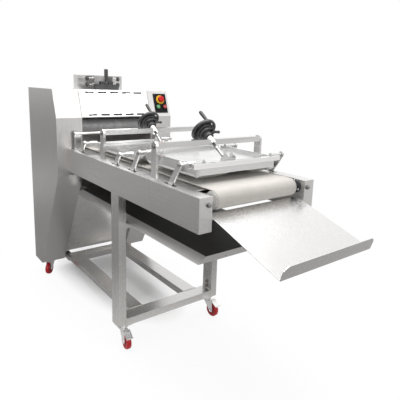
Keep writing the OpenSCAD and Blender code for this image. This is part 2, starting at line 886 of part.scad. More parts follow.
module bridge(bx, lean) {
    y1 = posts_w / 2;
    y0 = y1 - post_t;
    difference() {
        union() {
            both_sides() box([bx - post_w / 2, y0, rail_top], [bx + post_w / 2, y1, post_round_z]);
            both_sides() rod_y(bx, post_round_z, post_w, y0, y1);
            both_sides() box([bx - post_w / 2, y0 - 3, rail_top], [bx + post_w / 2, y1 + 4, rail_top + 5]);
            box([bx - bar_d / 2, -y0, bridge_top - bar_h], [bx + bar_d / 2, y0, bridge_top]);
            on_screw(bx, lean) translate([0, 0, -24]) cylinder(d = screw_d + 21, h = 24 + boss_out);
        }
        on_screw(bx, lean) translate([0, 0, -40]) cylinder(d = screw_d + 2 * run_fit, h = 41 + boss_out);
    }
}

module bridge_rear() {
    color(steel) machine() bridge(bridge_rear_x, rear_lean);
}

module bridge_front() {
    color(steel) machine() bridge(bridge_front_x, front_lean);
}

// Stepped housing on a screw boss, with a bore for the clamp lever
module screw_housing() {
    difference() {
        translate([0, 0, boss_out]) rotate_extrude() polygon([
            [screw_d / 2 + run_fit, 0], [housing_r, 0], [housing_r, 19], [housing_rim, 21],
            [housing_rim, housing_out - boss_out], [screw_d / 2 + run_fit, housing_out - boss_out]]);
        on_lock() translate([0, 0, -1.5]) cylinder(d = 8 + 2 * run_fit, h = 30);
    }
}

module screw_housings() {
    color(dark) machine() union() {
        on_screw(bridge_rear_x, rear_lean) screw_housing();
        on_screw(bridge_front_x, front_lean) screw_housing();
    }
}

// Tube that the screw drives, with a flat eye pushed by the board's pin
module screw_tube() {
    difference() {
        union() {
            translate([0, 0, -eye_out + eye_neck]) cylinder(d = screw_tube_d,
                h = eye_out - eye_neck - tube_top);
            translate([-6, -6, -eye_out]) cube([12, 12, eye_neck + 3]);
            translate([0, -eye_half, -eye_out]) rotate([-90, 0, 0]) cylinder(d = 20, h = 2 * eye_half);
            translate([0, 0, -tube_top - 12]) cylinder(d = screw_tube_d + 4, h = 12);
        }
        translate([0, 0, -eye_out + eye_neck + 6]) cylinder(d = screw_d + 2 * run_fit, h = eye_out);
        translate([0, -eye_half - 1, -eye_out]) rotate([-90, 0, 0]) eye_slot();
    }
}

// Slotted eye hole, long across the screw so that the board can follow its arc
module eye_slot() {
    l = 2 * eye_half + 2;
    translate([-2.2, -4.6, 0]) cube([4.4, 9.2, l]);
    for (x = [-2.2, 2.2])
        translate([x, 0, 0]) cylinder(d = 9.2, h = l);
}

module screw_tube_rear() {
    color(steel) machine() on_screw(bridge_rear_x, rear_lean) screw_tube();
}

module screw_tube_front() {
    color(steel) machine() on_screw(bridge_front_x, front_lean) screw_tube();
}

// Handwheel with stepped hub, windows and spindle, and a bore for the crank pin
crank_r = wheel_d / 2 - 12;
crank_a = 88;

module handwheel() {
    r = wheel_d / 2;
    difference() {
        union() {
            translate([0, 0, -spindle_end]) cylinder(d = screw_d, h = spindle_end + wheel_out);
            rotate_extrude() polygon([
                [0, housing_out + 0.6], [housing_rim - 2, housing_out + 0.6],
                    [housing_rim - 2, housing_out + 4],
                [hub_r, housing_out + 7], [hub_r, wheel_out - 6], [r - 8, wheel_out - 6],
                [r - 8, wheel_out + 2], [20, wheel_out + 2], [17, wheel_out + 8], [0, wheel_out + 8]]);
            translate([0, 0, wheel_out]) rotate_extrude() polygon([
                [r - 12, -6], [r - 9, -9], [r - 4, -9], [r, -5], [r, 4], [r - 4, 8], [r - 9, 8],
                    [r - 12, 5]]);
        }
        for (a = [0, 120, 240])
            rotate(crank_a + 60 + a) translate([0, 0, wheel_out - 8]) linear_extrude(12) wheel_window();
        rotate(crank_a) translate([crank_r, 0, wheel_out - 20]) cylinder(d = 8 + 2 * run_fit, h = 40);
    }
}

// Outline of one window between hub and rim
module wheel_window() {
    difference() {
        circle(r = wheel_d / 2 - 9);
        circle(r = hub_r + 1);
        translate([-wheel_d, -wheel_d]) square([wheel_d, 2 * wheel_d]);
        for (m = [0, 1])
            mirror([0, m]) rotate(40) square([wheel_d, wheel_d]);
    }
}

module handwheel_rear() {
    color(dark) machine() on_screw(bridge_rear_x, rear_lean) rotate(90) mirror([0, 1, 0]) handwheel();
}

module handwheel_front() {
    color(dark) machine() on_screw(bridge_front_x, front_lean) rotate(90) mirror([0, 1, 0]) handwheel();
}

// Turning crank grip on its pin
module crank() {
    rotate(crank_a) translate([crank_r, 0, wheel_out]) union() {
        translate([0, 0, -7]) cylinder(d = 8, h = 20);
        translate([0, 0, 9.6]) rotate_extrude() polygon([
            [0, 0], [crank_d * 0.36, 0], [crank_d * 0.42, 3], [crank_d * 0.5, crank_l * 0.5],
                [crank_d * 0.5, crank_l - 6],
            [crank_d * 0.44, crank_l - 2.5], [crank_d * 0.32, crank_l], [0, crank_l]]);
    }
}

module crank_rear() {
    color(dark) machine() on_screw(bridge_rear_x, rear_lean) rotate(90) mirror([0, 1, 0]) crank();
}

module crank_front() {
    color(dark) machine() on_screw(bridge_front_x, front_lean) rotate(90) mirror([0, 1, 0]) crank();
}

// Places children on a clamp lever's axis, half way between across and up
module on_lock() {
    rotate(-45) translate([0, screw_d / 2 + 0.5, lock_out]) rotate([-90, 0, 0]) children();
}

// Clamp lever in the side of a screw boss
module lock_lever() {
    on_lock() union() {
        cylinder(d = 8, h = lock_z + 4);
        translate([0, 0, lock_z]) cylinder(d = 15, h = 15);
        translate([0, 0, lock_z + 9]) rotate([0, -50, 0]) cylinder(d1 = 14, d2 = 12, h = 28);
        translate([0, 0, lock_z + 9]) rotate([0, -50, 0]) translate([0, 0, 28]) sphere(d = 15, $fn = 32);
    }
}

module lock_rear() {
    color(dark) machine() on_screw(bridge_rear_x, rear_lean) lock_lever();
}

module lock_front() {
    color(dark) machine() on_screw(bridge_front_x, front_lean) lock_lever();
}

// Pressure boards

// Side view of a board between x0 and x1
module board_side(x0, x1, z, h) {
    polygon([[x0, z + h], [x0, z + h - 8], [x0 + nose_l, z], [x1 - 14, z], [x1, z + 12], [x1, z + h]]);
}

// Side view of the rear board, turned up at both ends
module sled_side(x0, x1, z, h) {
    polygon([[x0, z + h], [x0, z + h - 8], [x0 + nose_l, z], [x1 - nose_l, z], [x1, z + h - 8], [x1, z + h]]);
}

// End view of a board with rounded lower edges
module board_end(z, h) {
    r = 18;
    b = half_board - 3;
    translate([-half_board, z + h - pan_depth]) square([2 * half_board, pan_depth]);
    translate([-b, z + r]) square([2 * b, h - r]);
    translate([-b + r, z]) square([2 * b - 2 * r, h]);
    for (y = [-b + r, b - r])
        translate([y, z + r]) circle(r = r);
}

// Board seen from above with corners of radius r, drawn inward by t
module board_plan(x0, x1, r, t) {
    b = half_board - t;
    q = r - t;
    translate([x0 + t, -b + q]) square([x1 - x0 - 2 * t, 2 * b - 2 * q]);
    translate([x0 + t + q, -b]) square([x1 - x0 - 2 * t - 2 * q, 2 * b]);
    for (x = [x0 + t + q, x1 - t - q], y = [-b + q, b - q])
        translate([x, y]) circle(r = q);
}

// Pins for the arm eyes and the clevis for the screw tube
module board_fittings(pa, pb, pz, bx, lean, floor_z) {
    cx = bx + eye_out * cos(lean);
    cz = axis_z - eye_out * sin(lean);
    both_sides() for (p = [pa, pb]) {
        rod_y(p, pz, arm_pin_d, half_board - 12, arm_y + arm_t + 2);
        rod_y(p, pz, arm_pin_d + 3, half_board - 12, arm_y - 1);
        box([p - 10, half_board - 14, floor_z - 2], [p + 10, half_board + lug_out, pz]);
        rod_y(p, pz, 20, half_board - 14, half_board + lug_out);
    }
    rod_y(cx, cz, 8, -eye_half - 9, eye_half + 9);
    both_sides() slab(eye_half + 2, eye_half + 8) polygon([
        [cx - 14, floor_z - 2], [cx + 40, floor_z - 2], [cx + 40, cz + 22], [cx + 26, cz + 34],
            [cx + 14, cz + 34], [cx - 10, cz + 8]]);
    box([cx + 34, -eye_half - 3, floor_z - 2], [cx + 40, eye_half + 3, cz + 14]);
}

module board_rear() {
    pz = pivot_z + rear_dz;
    floor_z = rear_bot + board_rear_h - pan_depth;
    color(steel) machine() union() {
        difference() {
            intersection() {
                slab(-half_board, half_board) sled_side(rear_from, rear_to, rear_bot, board_rear_h);
                translate([rear_from - 1, 0, 0]) rotate([90, 0, 90])
                    linear_extrude(rear_to - rear_from + 2) board_end(rear_bot, board_rear_h);
                translate([0, 0, rear_bot - 1]) linear_extrude(board_rear_h + 2)
                    board_plan(rear_from, rear_to, corner_rear, 0);
            }
            translate([0, 0, floor_z]) linear_extrude(60) board_plan(rear_from, rear_to, corner_rear, 8);
        }
        board_fittings(rear_pin_a, rear_pin_b, pz, bridge_rear_x, rear_lean, floor_z);
    }
}

module board_front() {
    pz = pivot_z + front_dz;
    floor_z = front_bot + board_front_h - pan_depth;
    eye_x = bridge_front_x + eye_out * cos(front_lean);
    color(steel) machine() union() {
        difference() {
            intersection() {
                slab(-half_board, half_board) board_side(front_from, front_to, front_bot, board_front_h);
                translate([front_from - 1, 0, 0]) rotate([90, 0, 90])
                    linear_extrude(front_to - front_from + 2) board_end(front_bot, board_front_h);
                translate([0, 0, front_bot - 1]) linear_extrude(board_front_h + 2)
                    board_plan(front_from, front_to, corner_front, 0);
            }
            translate([0, 0, floor_z]) linear_extrude(60) board_plan(front_from, front_to, corner_front, 9);
            box([eye_x - 24, -eye_half - 2, floor_z - 18], [eye_x + 24, eye_half + 2, floor_z + 1]);
            translate([front_to - 60, 0, 0]) rotate([90, 0, 90]) linear_extrude(70) polygon([
                [arch_near - half_board, front_bot - 1],
                [arch_near + arch_ramp - half_board, front_bot + arch_h],
                [half_board - arch_far - arch_ramp, front_bot + arch_h],
                [half_board - arch_far, front_bot - 1]]);
        }
        board_fittings(front_pin_a, front_pin_b, pz, bridge_front_x, front_lean, floor_z);
        box([front_to - 12, -half_board - lip_over, floor_z + 2],
            [front_to + 2, half_board + lip_over, floor_z + pan_depth + 1]);
        for (y = [stud_in - half_board, half_board - stud_in])
            translate([front_to - 40, y, floor_z - 1]) union() {
                cylinder(d = 16, h = 16);
                translate([0, 0, 16]) cylinder(d = 13, h = 8, $fn = 6);
            }
    }
}

// Swing arms: two flat bars on one torque shaft, drawn with the shaft at the origin
module arm(l, lean) {
    difference() {
        union() {
            rod_y(0, 0, torque_d, -arm_y - arm_t + 1, arm_y + arm_t - 1);
            both_sides() rotate([0, lean, 0]) {
                box([-arm_w / 2, arm_y, 0], [arm_w / 2, arm_y + arm_t, l]);
                rod_y(0, 0, arm_w + 8, arm_y, arm_y + arm_t);
                rod_y(0, l, arm_w, arm_y, arm_y + arm_t);
            }
        }
        both_sides() rotate([0, lean, 0]) rod_y(0, l, arm_pin_d + 2 * run_fit, arm_y - 1, arm_y + arm_t + 1);
    }
}

module arm_rear_a() {
    color(steel) machine() translate([rear_low_a, 0, pivot_z]) arm(rear_arm_l, rear_lean);
}

module arm_rear_b() {
    color(steel) machine() translate([rear_low_b, 0, pivot_z]) arm(rear_arm_l, rear_lean);
}

module arm_front_a() {
    color(steel) machine() translate([front_low_a, 0, pivot_z]) arm(front_arm_l, front_lean);
}

module arm_front_b() {
    color(steel) machine() translate([front_low_b, 0, pivot_z]) arm(front_arm_l, front_lean);
}

// Tray and chute

module tray() {
    a = tray_w / 2;
    b = tray_skirt_w / 2;
    x0 = -tray_back;
    color(dark) machine() union() {
        box([x0, -a, tray_z - tray_t], [tray_to, a, tray_z]);
        box([tray_to - tray_t, -a, tray_z - skirt_h], [tray_to, a, tray_z]);
        both_sides() translate([x0, 0, 0]) rotate([90, 0, 90]) linear_extrude(tray_to - x0) polygon([
            [a - 0.5, tray_z], [b, tray_z - skirt_h], [b - tray_t, tray_z - skirt_h],
                [a - 0.5 - tray_t, tray_z - tray_t]]);
        both_sides() translate([tray_to - tray_t, 0, 0]) rotate([90, 0, 90]) linear_extrude(tray_t) polygon([
            [a - 1, tray_z], [b, tray_z - skirt_h], [a - 1, tray_z - skirt_h]]);
    }
}

// Chute sheet with its end lip and hinge rod
module chute() {
    w = chute_w / 2;
    l = chute_l - chute_up;
    color(steel) machine() translate([chute_px, 0, chute_pz]) rotate([0, chute_slope, 0]) union() {
        box([-chute_up, -w, chute_skin], [l, w, chute_skin + chute_t]);
        translate([l - chute_t, 0, 0]) rotate([90, 0, 90]) linear_extrude(chute_t) lip();
        rod_y(0, 0, chute_rod_d, -rail_in - 9, rail_in + 9);
        for (i = [-1.5 : 1 : 1.5])
            translate([0, i * (w - 10) / 2, 0]) box([-8, -12, -2], [8, 12, chute_skin + 1]);
    }
}

// End lip with rounded upper corners
module lip() {
    w = chute_w / 2;
    r = 24;
    top = chute_skin + chute_t + lip_h;
    translate([-w, chute_skin]) square([2 * w, top - chute_skin - r]);
    translate([-w + r, chute_skin]) square([2 * w - 2 * r, top - chute_skin]);
    for (y = [-w + r, w - r])
        translate([y, top - r]) circle(r = r);
}

// Stand

module stand() {
    y1 = half_rails;
    y0 = half_rails - leg_w;
    x1 = leg_x;
    x0 = leg_x - leg_d;
    t = tube_wall;
    lb = leg_bot;
    lo = long_w / 2;
    xr = foot_x + 26;
    bz = tray_z - skirt_h - 6;
    color(steel) machine() difference() {
        union() {
            both_sides() box([x0, y0, lb], [x1, y1, rail_bot]);
            box([x0, -y0, lb], [x1, y0, lb + beam_h]);
            both_sides() box([xr, lo - leg_d, lb], [x0, lo, lb + beam_h]);
            box([xr, -lo, lb], [xr + leg_d, lo, lb + beam_h]);
            both_sides() box([foot_x - 50, lo - 30, lb + 10], [xr + 60, half_gap, lb + 30]);
            box([x0 + 24, -y0, bz - 30], [x0 + 54, y0, bz]);
            box([-130, -half_gap, bz - 30], [-100, half_gap, bz]);
            both_sides() box([-130, tray_w / 2 - 40, bz],
                [x1 + 20, tray_w / 2 - 20, tray_z - tray_t - slide_fit]);
            both_sides() translate([front_stem[0], front_stem[1], lb]) cylinder(d = stem_d + 20, h = 30);
            both_sides() box([front_stem[0] - 34, front_stem[1] - 34, lb - 3], [leg_x - 1, y1 - 1, lb]);
        }
        both_sides() box([x0 + t, y0 + t, lb + 34], [x1 - t, y1 - t, rail_bot + 1]);
        box([x0 + t, -y0 + 30, lb + t], [x1 - t, y0 - 30, lb + beam_h - t]);
        both_sides() box([xr + leg_d + t, lo - leg_d + t, lb + t], [x0 + 10, lo - t, lb + beam_h - t]);
        both_sides() translate([front_stem[0], front_stem[1], lb - 4])
            cylinder(d = stem_d + 2 * run_fit, h = 28);
        translate([x0 + leg_d / 2, 0, lb - 1]) cylinder(d = 12, h = t + 2);
        both_sides() for (z = leg_bolts)
            rod_y(x0 + leg_d / 2, z, bolt_d + bolt_play, y0 - 1, y0 + t + 1);
    }
}

// Casters, drawn with the swivel axis on z and trailing towards +X

pedal_pin_d = 5;
pedal_z = caster_d + 15;

module caster_fork(braked) {
    h = foot_z - 4;
    g = caster_w / 2 + 1.5;
    difference() {
        union() {
            translate([0, 0, h - 12]) cylinder(d = stem_d, h = 34);
            translate([0, 0, h - 10]) cylinder(d = 44, h = 9);
            translate([0, 0, h - 22]) cylinder(d1 = 34, d2 = 40, h = 14);
            box([-20, -g - 3, caster_d + 3], [trail + 4, g + 3, caster_d + 9]);
            both_sides() slab(g, g + 3) polygon([
                [-20, caster_d + 9], [trail + 8, caster_d + 9], [trail + 13, caster_r + 4],
                    [trail + 9, caster_r - 11],
                [trail - 9, caster_r - 11], [trail - 16, caster_r + 2]]);
            rod_y(trail, caster_r, axle_d, -g - 7, g + 7);
            if (braked)
                both_sides() box([trail - 6, g - 1, caster_d + 8], [trail + 6, g + 3, pedal_z + 5]);
        }
        if (braked)
            rod_y(trail, pedal_z, pedal_pin_d + 2 * run_fit, -g - 4, g + 4);
    }
}

module caster_wheel() {
    w = caster_w / 2;
    r = caster_r;
    translate([trail, 0, caster_r]) rotate([90, 0, 0]) difference() {
        rotate_extrude() polygon([
            [axle_d / 2 + run_fit, -w], [14, -w], [16, -w + 4], [r - 13, -w + 4], [r - 11, -w],
                [r - 4, -w], [r, -w + 5],
            [r, w - 5], [r - 4, w], [r - 11, w], [r - 13, w - 4], [16, w - 4], [14, w],
                [axle_d / 2 + run_fit, w]]);
    }
}

// Brake pedal over the wheel: a sloped hood with a turned-up toe, hinged on a pin through the fork's ears
module caster_pedal() {
    g = caster_w / 2 + 1.5;
    z = pedal_z;
    x = trail;
    union() {
        rod_y(x, z, pedal_pin_d + 4, -g + 2, g - 2);
        rod_y(x, z, pedal_pin_d, -g - 2, g + 2);
        slab(-g + 2, g - 2) polygon([
            [x - 9, z - 1], [x - 9, z + 2], [x, z + 4.5], [x + 14, z + 2], [x + 14, z - 4], [x, z - 4.5]]);
        slab(-g - 3, g + 3) polygon([
            [x + 10, z + 2.5], [x + 43, z - 18], [x + 50, z - 15], [x + 51, z - 17.5],
            [x + 43, z - 21.5], [x + 10, z - 1.5]]);
        box([x + 12, -g + 4, z - 9], [x + 20, g - 4, z - 2]);
    }
}

module place_front(s) {
    mirror([0, s > 0 ? 0 : 1, 0]) translate([front_stem[0], front_stem[1], 0]) rotate(-front_turn) children();
}

module place_rear(s, turn) {
    mirror([0, s > 0 ? 0 : 1, 0]) translate([rear_stem[0], rear_stem[1], 0]) rotate(turn) children();
}

module fork_near_front() {
    color(steel) machine() place_front(-1) caster_fork(true);
}

module fork_far_front() {
    color(steel) machine() place_front(1) caster_fork(true);
}

module fork_near_rear() {
    color(steel) machine() place_rear(-1, -rear_turn) caster_fork(false);
}

module fork_far_rear() {
    color(steel) machine() place_rear(1, rear_far_turn) caster_fork(false);
}

module wheel_near_front() {
    color("red") machine() place_front(-1) caster_wheel();
}

module wheel_far_front() {
    color("red") machine() place_front(1) caster_wheel();
}

module wheel_near_rear() {
    color("red") machine() place_rear(-1, -rear_turn) caster_wheel();
}

module wheel_far_rear() {
    color("red") machine() place_rear(1, rear_far_turn) caster_wheel();
}

module pedal_near() {
    color(dark) machine() place_front(-1) caster_pedal();
}

module pedal_far() {
    color(dark) machine() place_front(1) caster_pedal();
}

// Small pieces

module mat_bar() {
    z = rail_top + mat_bar_h;
    x = mat_bar_x;
    y1 = rail_mid + 8;
    y0 = y1 - mat_foot_w;
    ym = (y0 + y1) / 2;
    b = mat_bar_d / 2;
    color(steel) machine() union() {
        rod_y(x, z, mat_bar_d, -y1, y1);
        both_sides() box([x - 2 * b, y0, rail_top], [x - b - 1, y1, z + b + 5]);
        both_sides() box([x - 2 * b, y0, rail_top], [x + 3 * b, y1, rail_top + 5]);
        both_sides() box([x - b - 3, ym - 7, z - 5], [x, ym + 7, z + 5]);
    }
}

module frame_bolts() {
    y0 = half_rails - leg_w;
    color(steel) machine() union() {
        both_sides() translate([rail_len - 6, rail_mid - 12, roller_z]) rotate([0, 90, 0]) union() {
            cylinder(d = bolt_d, h = 16);
            translate([0, 0, 6]) cylinder(d = 20, h = 2);
            translate([0, 0, 8]) cylinder(d = 17, h = 7, $fn = 6);
        }
        both_sides() for (z = leg_bolts)
            translate([leg_x - leg_d / 2, y0 + 2, z]) rotate([90, 0, 0]) union() {
                cylinder(d = bolt_d, h = 6);
                translate([0, 0, 2]) cylinder(d = 20, h = 2);
                translate([0, 0, 4]) cylinder(d = 17, h = 7, $fn = 6);
            }
    }
}

near_column();
far_column();
rear_panel();
lower_panel();
top_panel();
head_cover();
hopper_frame();
guide_near();
guide_far();
knobs_near();
knobs_far();
gap_block();
gap_lever();
roll_front();
roll_rear();
roll_press();
gearmotor();
control_plate();
estop_ring();
estop_head();
start_button();
stop_button();
near_rail();
far_rail();
bed_plate();
belt();
drive_roller();
end_roller();
bridge_rear();
bridge_front();
screw_housings();
screw_tube_rear();
screw_tube_front();
handwheel_rear();
handwheel_front();
crank_rear();
crank_front();
lock_rear();
lock_front();
board_rear();
board_front();
arm_rear_a();
arm_rear_b();
arm_front_a();
arm_front_b();
tray();
chute();
stand();
fork_near_front();
fork_far_front();
fork_near_rear();
fork_far_rear();
wheel_near_front();
wheel_far_front();
wheel_near_rear();
wheel_far_rear();
pedal_near();
pedal_far();
mat_bar();
frame_bolts();
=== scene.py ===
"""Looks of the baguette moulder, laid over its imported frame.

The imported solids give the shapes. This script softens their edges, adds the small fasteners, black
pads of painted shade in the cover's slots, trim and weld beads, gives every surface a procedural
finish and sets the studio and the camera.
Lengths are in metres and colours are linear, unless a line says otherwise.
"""

import json
import logging
import math
from dataclasses import dataclass
from enum import Enum
from typing import Optional, Sequence

import bmesh
import bpy
from mathutils import Matrix, Vector


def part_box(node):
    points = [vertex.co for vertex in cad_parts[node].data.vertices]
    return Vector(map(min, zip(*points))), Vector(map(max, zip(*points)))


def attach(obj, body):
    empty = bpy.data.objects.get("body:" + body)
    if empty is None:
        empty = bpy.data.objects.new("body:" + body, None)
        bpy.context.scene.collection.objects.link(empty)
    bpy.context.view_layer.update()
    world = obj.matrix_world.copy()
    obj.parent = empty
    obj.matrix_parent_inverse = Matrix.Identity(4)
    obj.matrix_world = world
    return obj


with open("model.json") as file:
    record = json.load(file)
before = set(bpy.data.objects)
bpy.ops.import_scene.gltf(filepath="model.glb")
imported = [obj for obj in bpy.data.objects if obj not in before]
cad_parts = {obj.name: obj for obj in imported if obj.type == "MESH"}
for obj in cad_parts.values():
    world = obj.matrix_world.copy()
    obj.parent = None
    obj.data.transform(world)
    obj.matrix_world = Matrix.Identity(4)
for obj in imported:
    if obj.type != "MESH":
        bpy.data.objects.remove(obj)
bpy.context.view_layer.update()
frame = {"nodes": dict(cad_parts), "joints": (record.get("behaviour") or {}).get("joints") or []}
LOG = logging.getLogger("moulder")
NODES = frame["nodes"]
JOINTS = {joint["name"]: joint for joint in frame["joints"]}

Node = bpy.types.Node
Socket = bpy.types.NodeSocket
SIDES = (-1.0, 1.0)


class Grain(Enum):
    """Direction in which a sheet was brushed, as the stretch of its noise."""

    ALONG_X = (4.0, 190.0, 190.0)
    ALONG_Y = (190.0, 4.0, 190.0)
    ALONG_Z = (190.0, 190.0, 4.0)
    NONE = (30.0, 30.0, 30.0)


@dataclass(frozen=True)
class Noise:
    """One noise texture."""

    scale: float
    detail: float = 4.0  # octaves
    rough: float = 0.55  # roughness of the octaves


FINE_BRUSH = Noise(11.0, 4.0, 0.6)
BROAD_BRUSH = Noise(1.3, 4.0, 0.6)
SMEARS = Noise(3.2, 3.0, 0.5)
SPOTS = Noise(70.0, 2.0, 0.6)
MOULDED = Noise(900.0, 2.0)
DUST = Noise(22.0)
FLOUR = Noise(7.0, 5.0, 0.6)
TRACKS = Noise(3.0, 3.0)
DECK_BRUSH = Noise(9.0)
SCUFFS = Noise(7.0, 6.0, 0.65)
TYRE_SCUFFS = Noise(160.0, 4.0, 0.65)

# Bands of levels that a finish picks out of a texture
WHOLE = (0.0, 1.0)
MIDDLE = (0.3, 0.7)
SOFT = (0.35, 0.68)
FLOURED = (0.35, 0.7)
TRACKED = (0.4, 0.7)
UPPER = (0.45, 0.75)
MARKED = (0.48, 0.72)
RARE = (0.62, 0.78)
OUTER_EDGE = (0.52, 0.6)


def rgba(colour: Sequence[float]) -> tuple:
    """Adds alpha to a colour."""
    return (colour[0], colour[1], colour[2], 1.0)


def grey(level: float) -> tuple:
    """Makes a grey with alpha."""
    return rgba((level,) * 3)


WHITE_LIGHT = grey(1.0)


class Graph:
    """Builder for one node tree, so that a finish reads as a short recipe."""

    def __init__(self, tree: bpy.types.NodeTree) -> None:
        """Starts an empty tree."""
        self.tree = tree
        tree.nodes.clear()

    def add(self, kind: str, props: Optional[dict] = None, **sockets: object) -> Node:
        """Adds a node and sets its inputs.

        Args:
            kind: Node type name.
            props: Attributes of the node itself.
            **sockets: Inputs, as for wire.

        Returns:
            The new node.
        """
        node = self.tree.nodes.new(kind)
        for name, value in (props or {}).items():
            setattr(node, name, value)
        self.wire(node, **sockets)
        return node

    def out(self, kind: str, props: Optional[dict] = None, **sockets: object) -> Socket:
        """Adds a node as add does, and gives its first output."""
        return self.add(kind, props, **sockets).outputs[0]

    def wire(self, node: Node, **sockets: object) -> None:
        """Sets inputs of a node to values, or joins them to output sockets.

        Args:
            node: The node.
            **sockets: Input name with underscores for spaces, or i and its index, to a value or an
                output socket.
        """
        for name, value in sockets.items():
            by_index = name[0] == "i" and name[1:].isdigit()
            socket = node.inputs[int(name[1:]) if by_index else name.replace("_", " ")]
            if isinstance(value, Socket):
                self.tree.links.new(value, socket)
            else:
                socket.default_value = value

    def math(self, op: str, a: object, b: object = 0.0) -> Socket:
        """Gives the result of a math node."""
        return self.out("ShaderNodeMath", {"operation": op}, i0=a, i1=b)

    def plus(self, a: object, b: object) -> Socket:
        """Gives a sum."""
        return self.math("ADD", a, b)

    def times(self, a: object, b: object) -> Socket:
        """Gives a product."""
        return self.math("MULTIPLY", a, b)

    def vector(self, op: str, a: object, b: object, output: int = 0) -> Socket:
        """Gives the vector (output 0) or the number (output 1) of a vector math node."""
        return self.add("ShaderNodeVectorMath", {"operation": op}, i0=a, i1=b).outputs[output]

    def length(self, a: object) -> Socket:
        """Gives the length of a vector."""
        return self.vector("LENGTH", a, (0.0, 0.0, 0.0), 1)

    def axes(self, vector: object) -> Sequence[Socket]:
        """Splits a vector into x, y and z."""
        return self.add("ShaderNodeSeparateXYZ", Vector=vector).outputs

    def remap(self, value: object, band: Sequence[float], low: float = 0.0,
              high: float = 1.0) -> Socket:
        """Maps a band of levels to the range from low to high, clamped."""
        return self.out("ShaderNodeMapRange", i0=value, i1=band[0], i2=band[1], i3=low, i4=high)

    def ramp(self, value: Socket, stops: Sequence[tuple]) -> Socket:
        """Adds a curve of straight lines through given points.

        Args:
            value: Input socket.
            stops: Pairs of input and output, up to the largest input.

        Returns:
            The output socket.
        """
        span = stops[-1][0]
        node = self.add("ShaderNodeValToRGB", i0=self.math("DIVIDE", value, span))
        marks = node.color_ramp.elements
        marks.remove(marks[1])
        marks[0].position = 0.0
        marks[0].color = grey(stops[0][1])
        for at, level in stops:
            marks.new(at / span).color = grey(level)
        return node.outputs[0]

    def mix(self, factor: object, a: object, b: object) -> Socket:
        """Mixes two colours, from a at 0 to b at 1."""
        return self.add("ShaderNodeMix", {"data_type": "RGBA"}, i0=factor, i6=a, i7=b).outputs[2]

    def blend(self, factor: object, a: object, b: object) -> Socket:
        """Mixes two numbers, from a at 0 to b at 1."""
        return self.out("ShaderNodeMix", {"data_type": "FLOAT"}, i0=factor, i2=a, i3=b)

    def shaders(self, factor: Socket, a: Socket, b: Socket) -> Socket:
        """Mixes two shaders, from a at 0 to b at 1."""
        return self.out("ShaderNodeMixShader", i0=factor, i1=a, i2=b)

    def glow(self, strength: object, colour: tuple = WHITE_LIGHT) -> Socket:
        """Gives a shader that shines."""
        return self.out("ShaderNodeEmission", Color=colour, Strength=strength)

    def matt(self, level: float) -> Socket:
        """Gives a matt grey shader."""
        return self.out("ShaderNodeBsdfDiffuse", Color=grey(level))


class Surface(Graph):
    """Node tree of one finish, with object coordinates and a main shader."""

    def __init__(self, mat: bpy.types.Material) -> None:
        """Starts the tree with its coordinates, shader and output.

        Args:
            mat: The material to fill.
        """
        mat.use_nodes = True
        super().__init__(mat.node_tree)
        self.coords = self.add("ShaderNodeTexCoord").outputs["Object"]
        self.shader = self.add("ShaderNodeBsdfPrincipled")
        self.add("ShaderNodeOutputMaterial", Surface=self.shader.outputs[0])

    def set(self, **sockets: object) -> None:
        """Sets inputs of the main shader."""
        self.wire(self.shader, **sockets)

    def texture(self, noise: Noise, stretch: Optional[tuple] = None) -> Socket:
        """Gives a noise texture on the object.

        Args:
            noise: The noise.
            stretch: Scales of the coordinates, where the texture is drawn out.

        Returns:
            The level socket.
        """
        place = self.coords
        if stretch is not None:
            place = self.out("ShaderNodeMapping", Vector=place, Scale=stretch)
        return self.out("ShaderNodeTexNoise", Vector=place, Scale=noise.scale,
                        Detail=noise.detail, Roughness=noise.rough)

    def bump(self, height: Socket, strength: float, depth: float) -> None:
        """Makes the surface bumpy."""
        self.set(Normal=self.out("ShaderNodeBump", Strength=strength, Distance=depth,
                                 Height=height))

    def edges(self) -> Socket:
        """Gives 1 on the rounded outer edges of a piece and 0 on its flats."""
        return self.remap(self.add("ShaderNodeNewGeometry").outputs["Pointiness"], OUTER_EDGE)


@dataclass(frozen=True)
class Finish:
    """Base of the finishes: one material, made once."""

    name: str
    colour: tuple
    roughness: float  # mean roughness
    uneven: tuple = (-0.04, 0.04)  # change of the roughness at both ends of its texture
    bump: float = 0.03  # strength of the bump
    depth: float = 0.0004  # depth of the bump

    def material(self) -> bpy.types.Material:
        """Gives the material, building it on first use.

        Returns:
            The material.
        """
        mat = bpy.data.materials.get(self.name)
        if mat is None:
            mat = bpy.data.materials.new(self.name)
            mat.diffuse_color = rgba(self.colour)
            surface = Surface(mat)
            surface.set(Base_Color=rgba(self.colour), Roughness=self.roughness)
            surface.bump(self.paint(surface), self.bump, self.depth)
        return mat

    def paint(self, surface: Surface) -> Socket:
        """Adds the finish's own texture and gives the height of its bumps."""
        raise NotImplementedError

    def shade(self, factor: float) -> tuple:
        """Scales the main colour."""
        return rgba(tuple(min(1.0, c * factor) for c in self.colour))

    def layered(self, surface: Surface, base: Socket, layers: Sequence[tuple]) -> Socket:
        """Lays shades of the main colour over a base colour.

        Args:
            surface: Node builder.
            base: The base colour.
            layers: Pairs of a weight socket and the shade's brightness.

        Returns:
            The colour socket.
        """
        for weight, brightness in layers:
            base = surface.mix(weight, base, self.shade(brightness))
        return base

    def gloss(self, surface: Surface, texture: Socket) -> Socket:
        """Gives a roughness that follows a texture."""
        low, high = (self.roughness + change for change in self.uneven)
        return surface.remap(texture, MIDDLE, low, high)


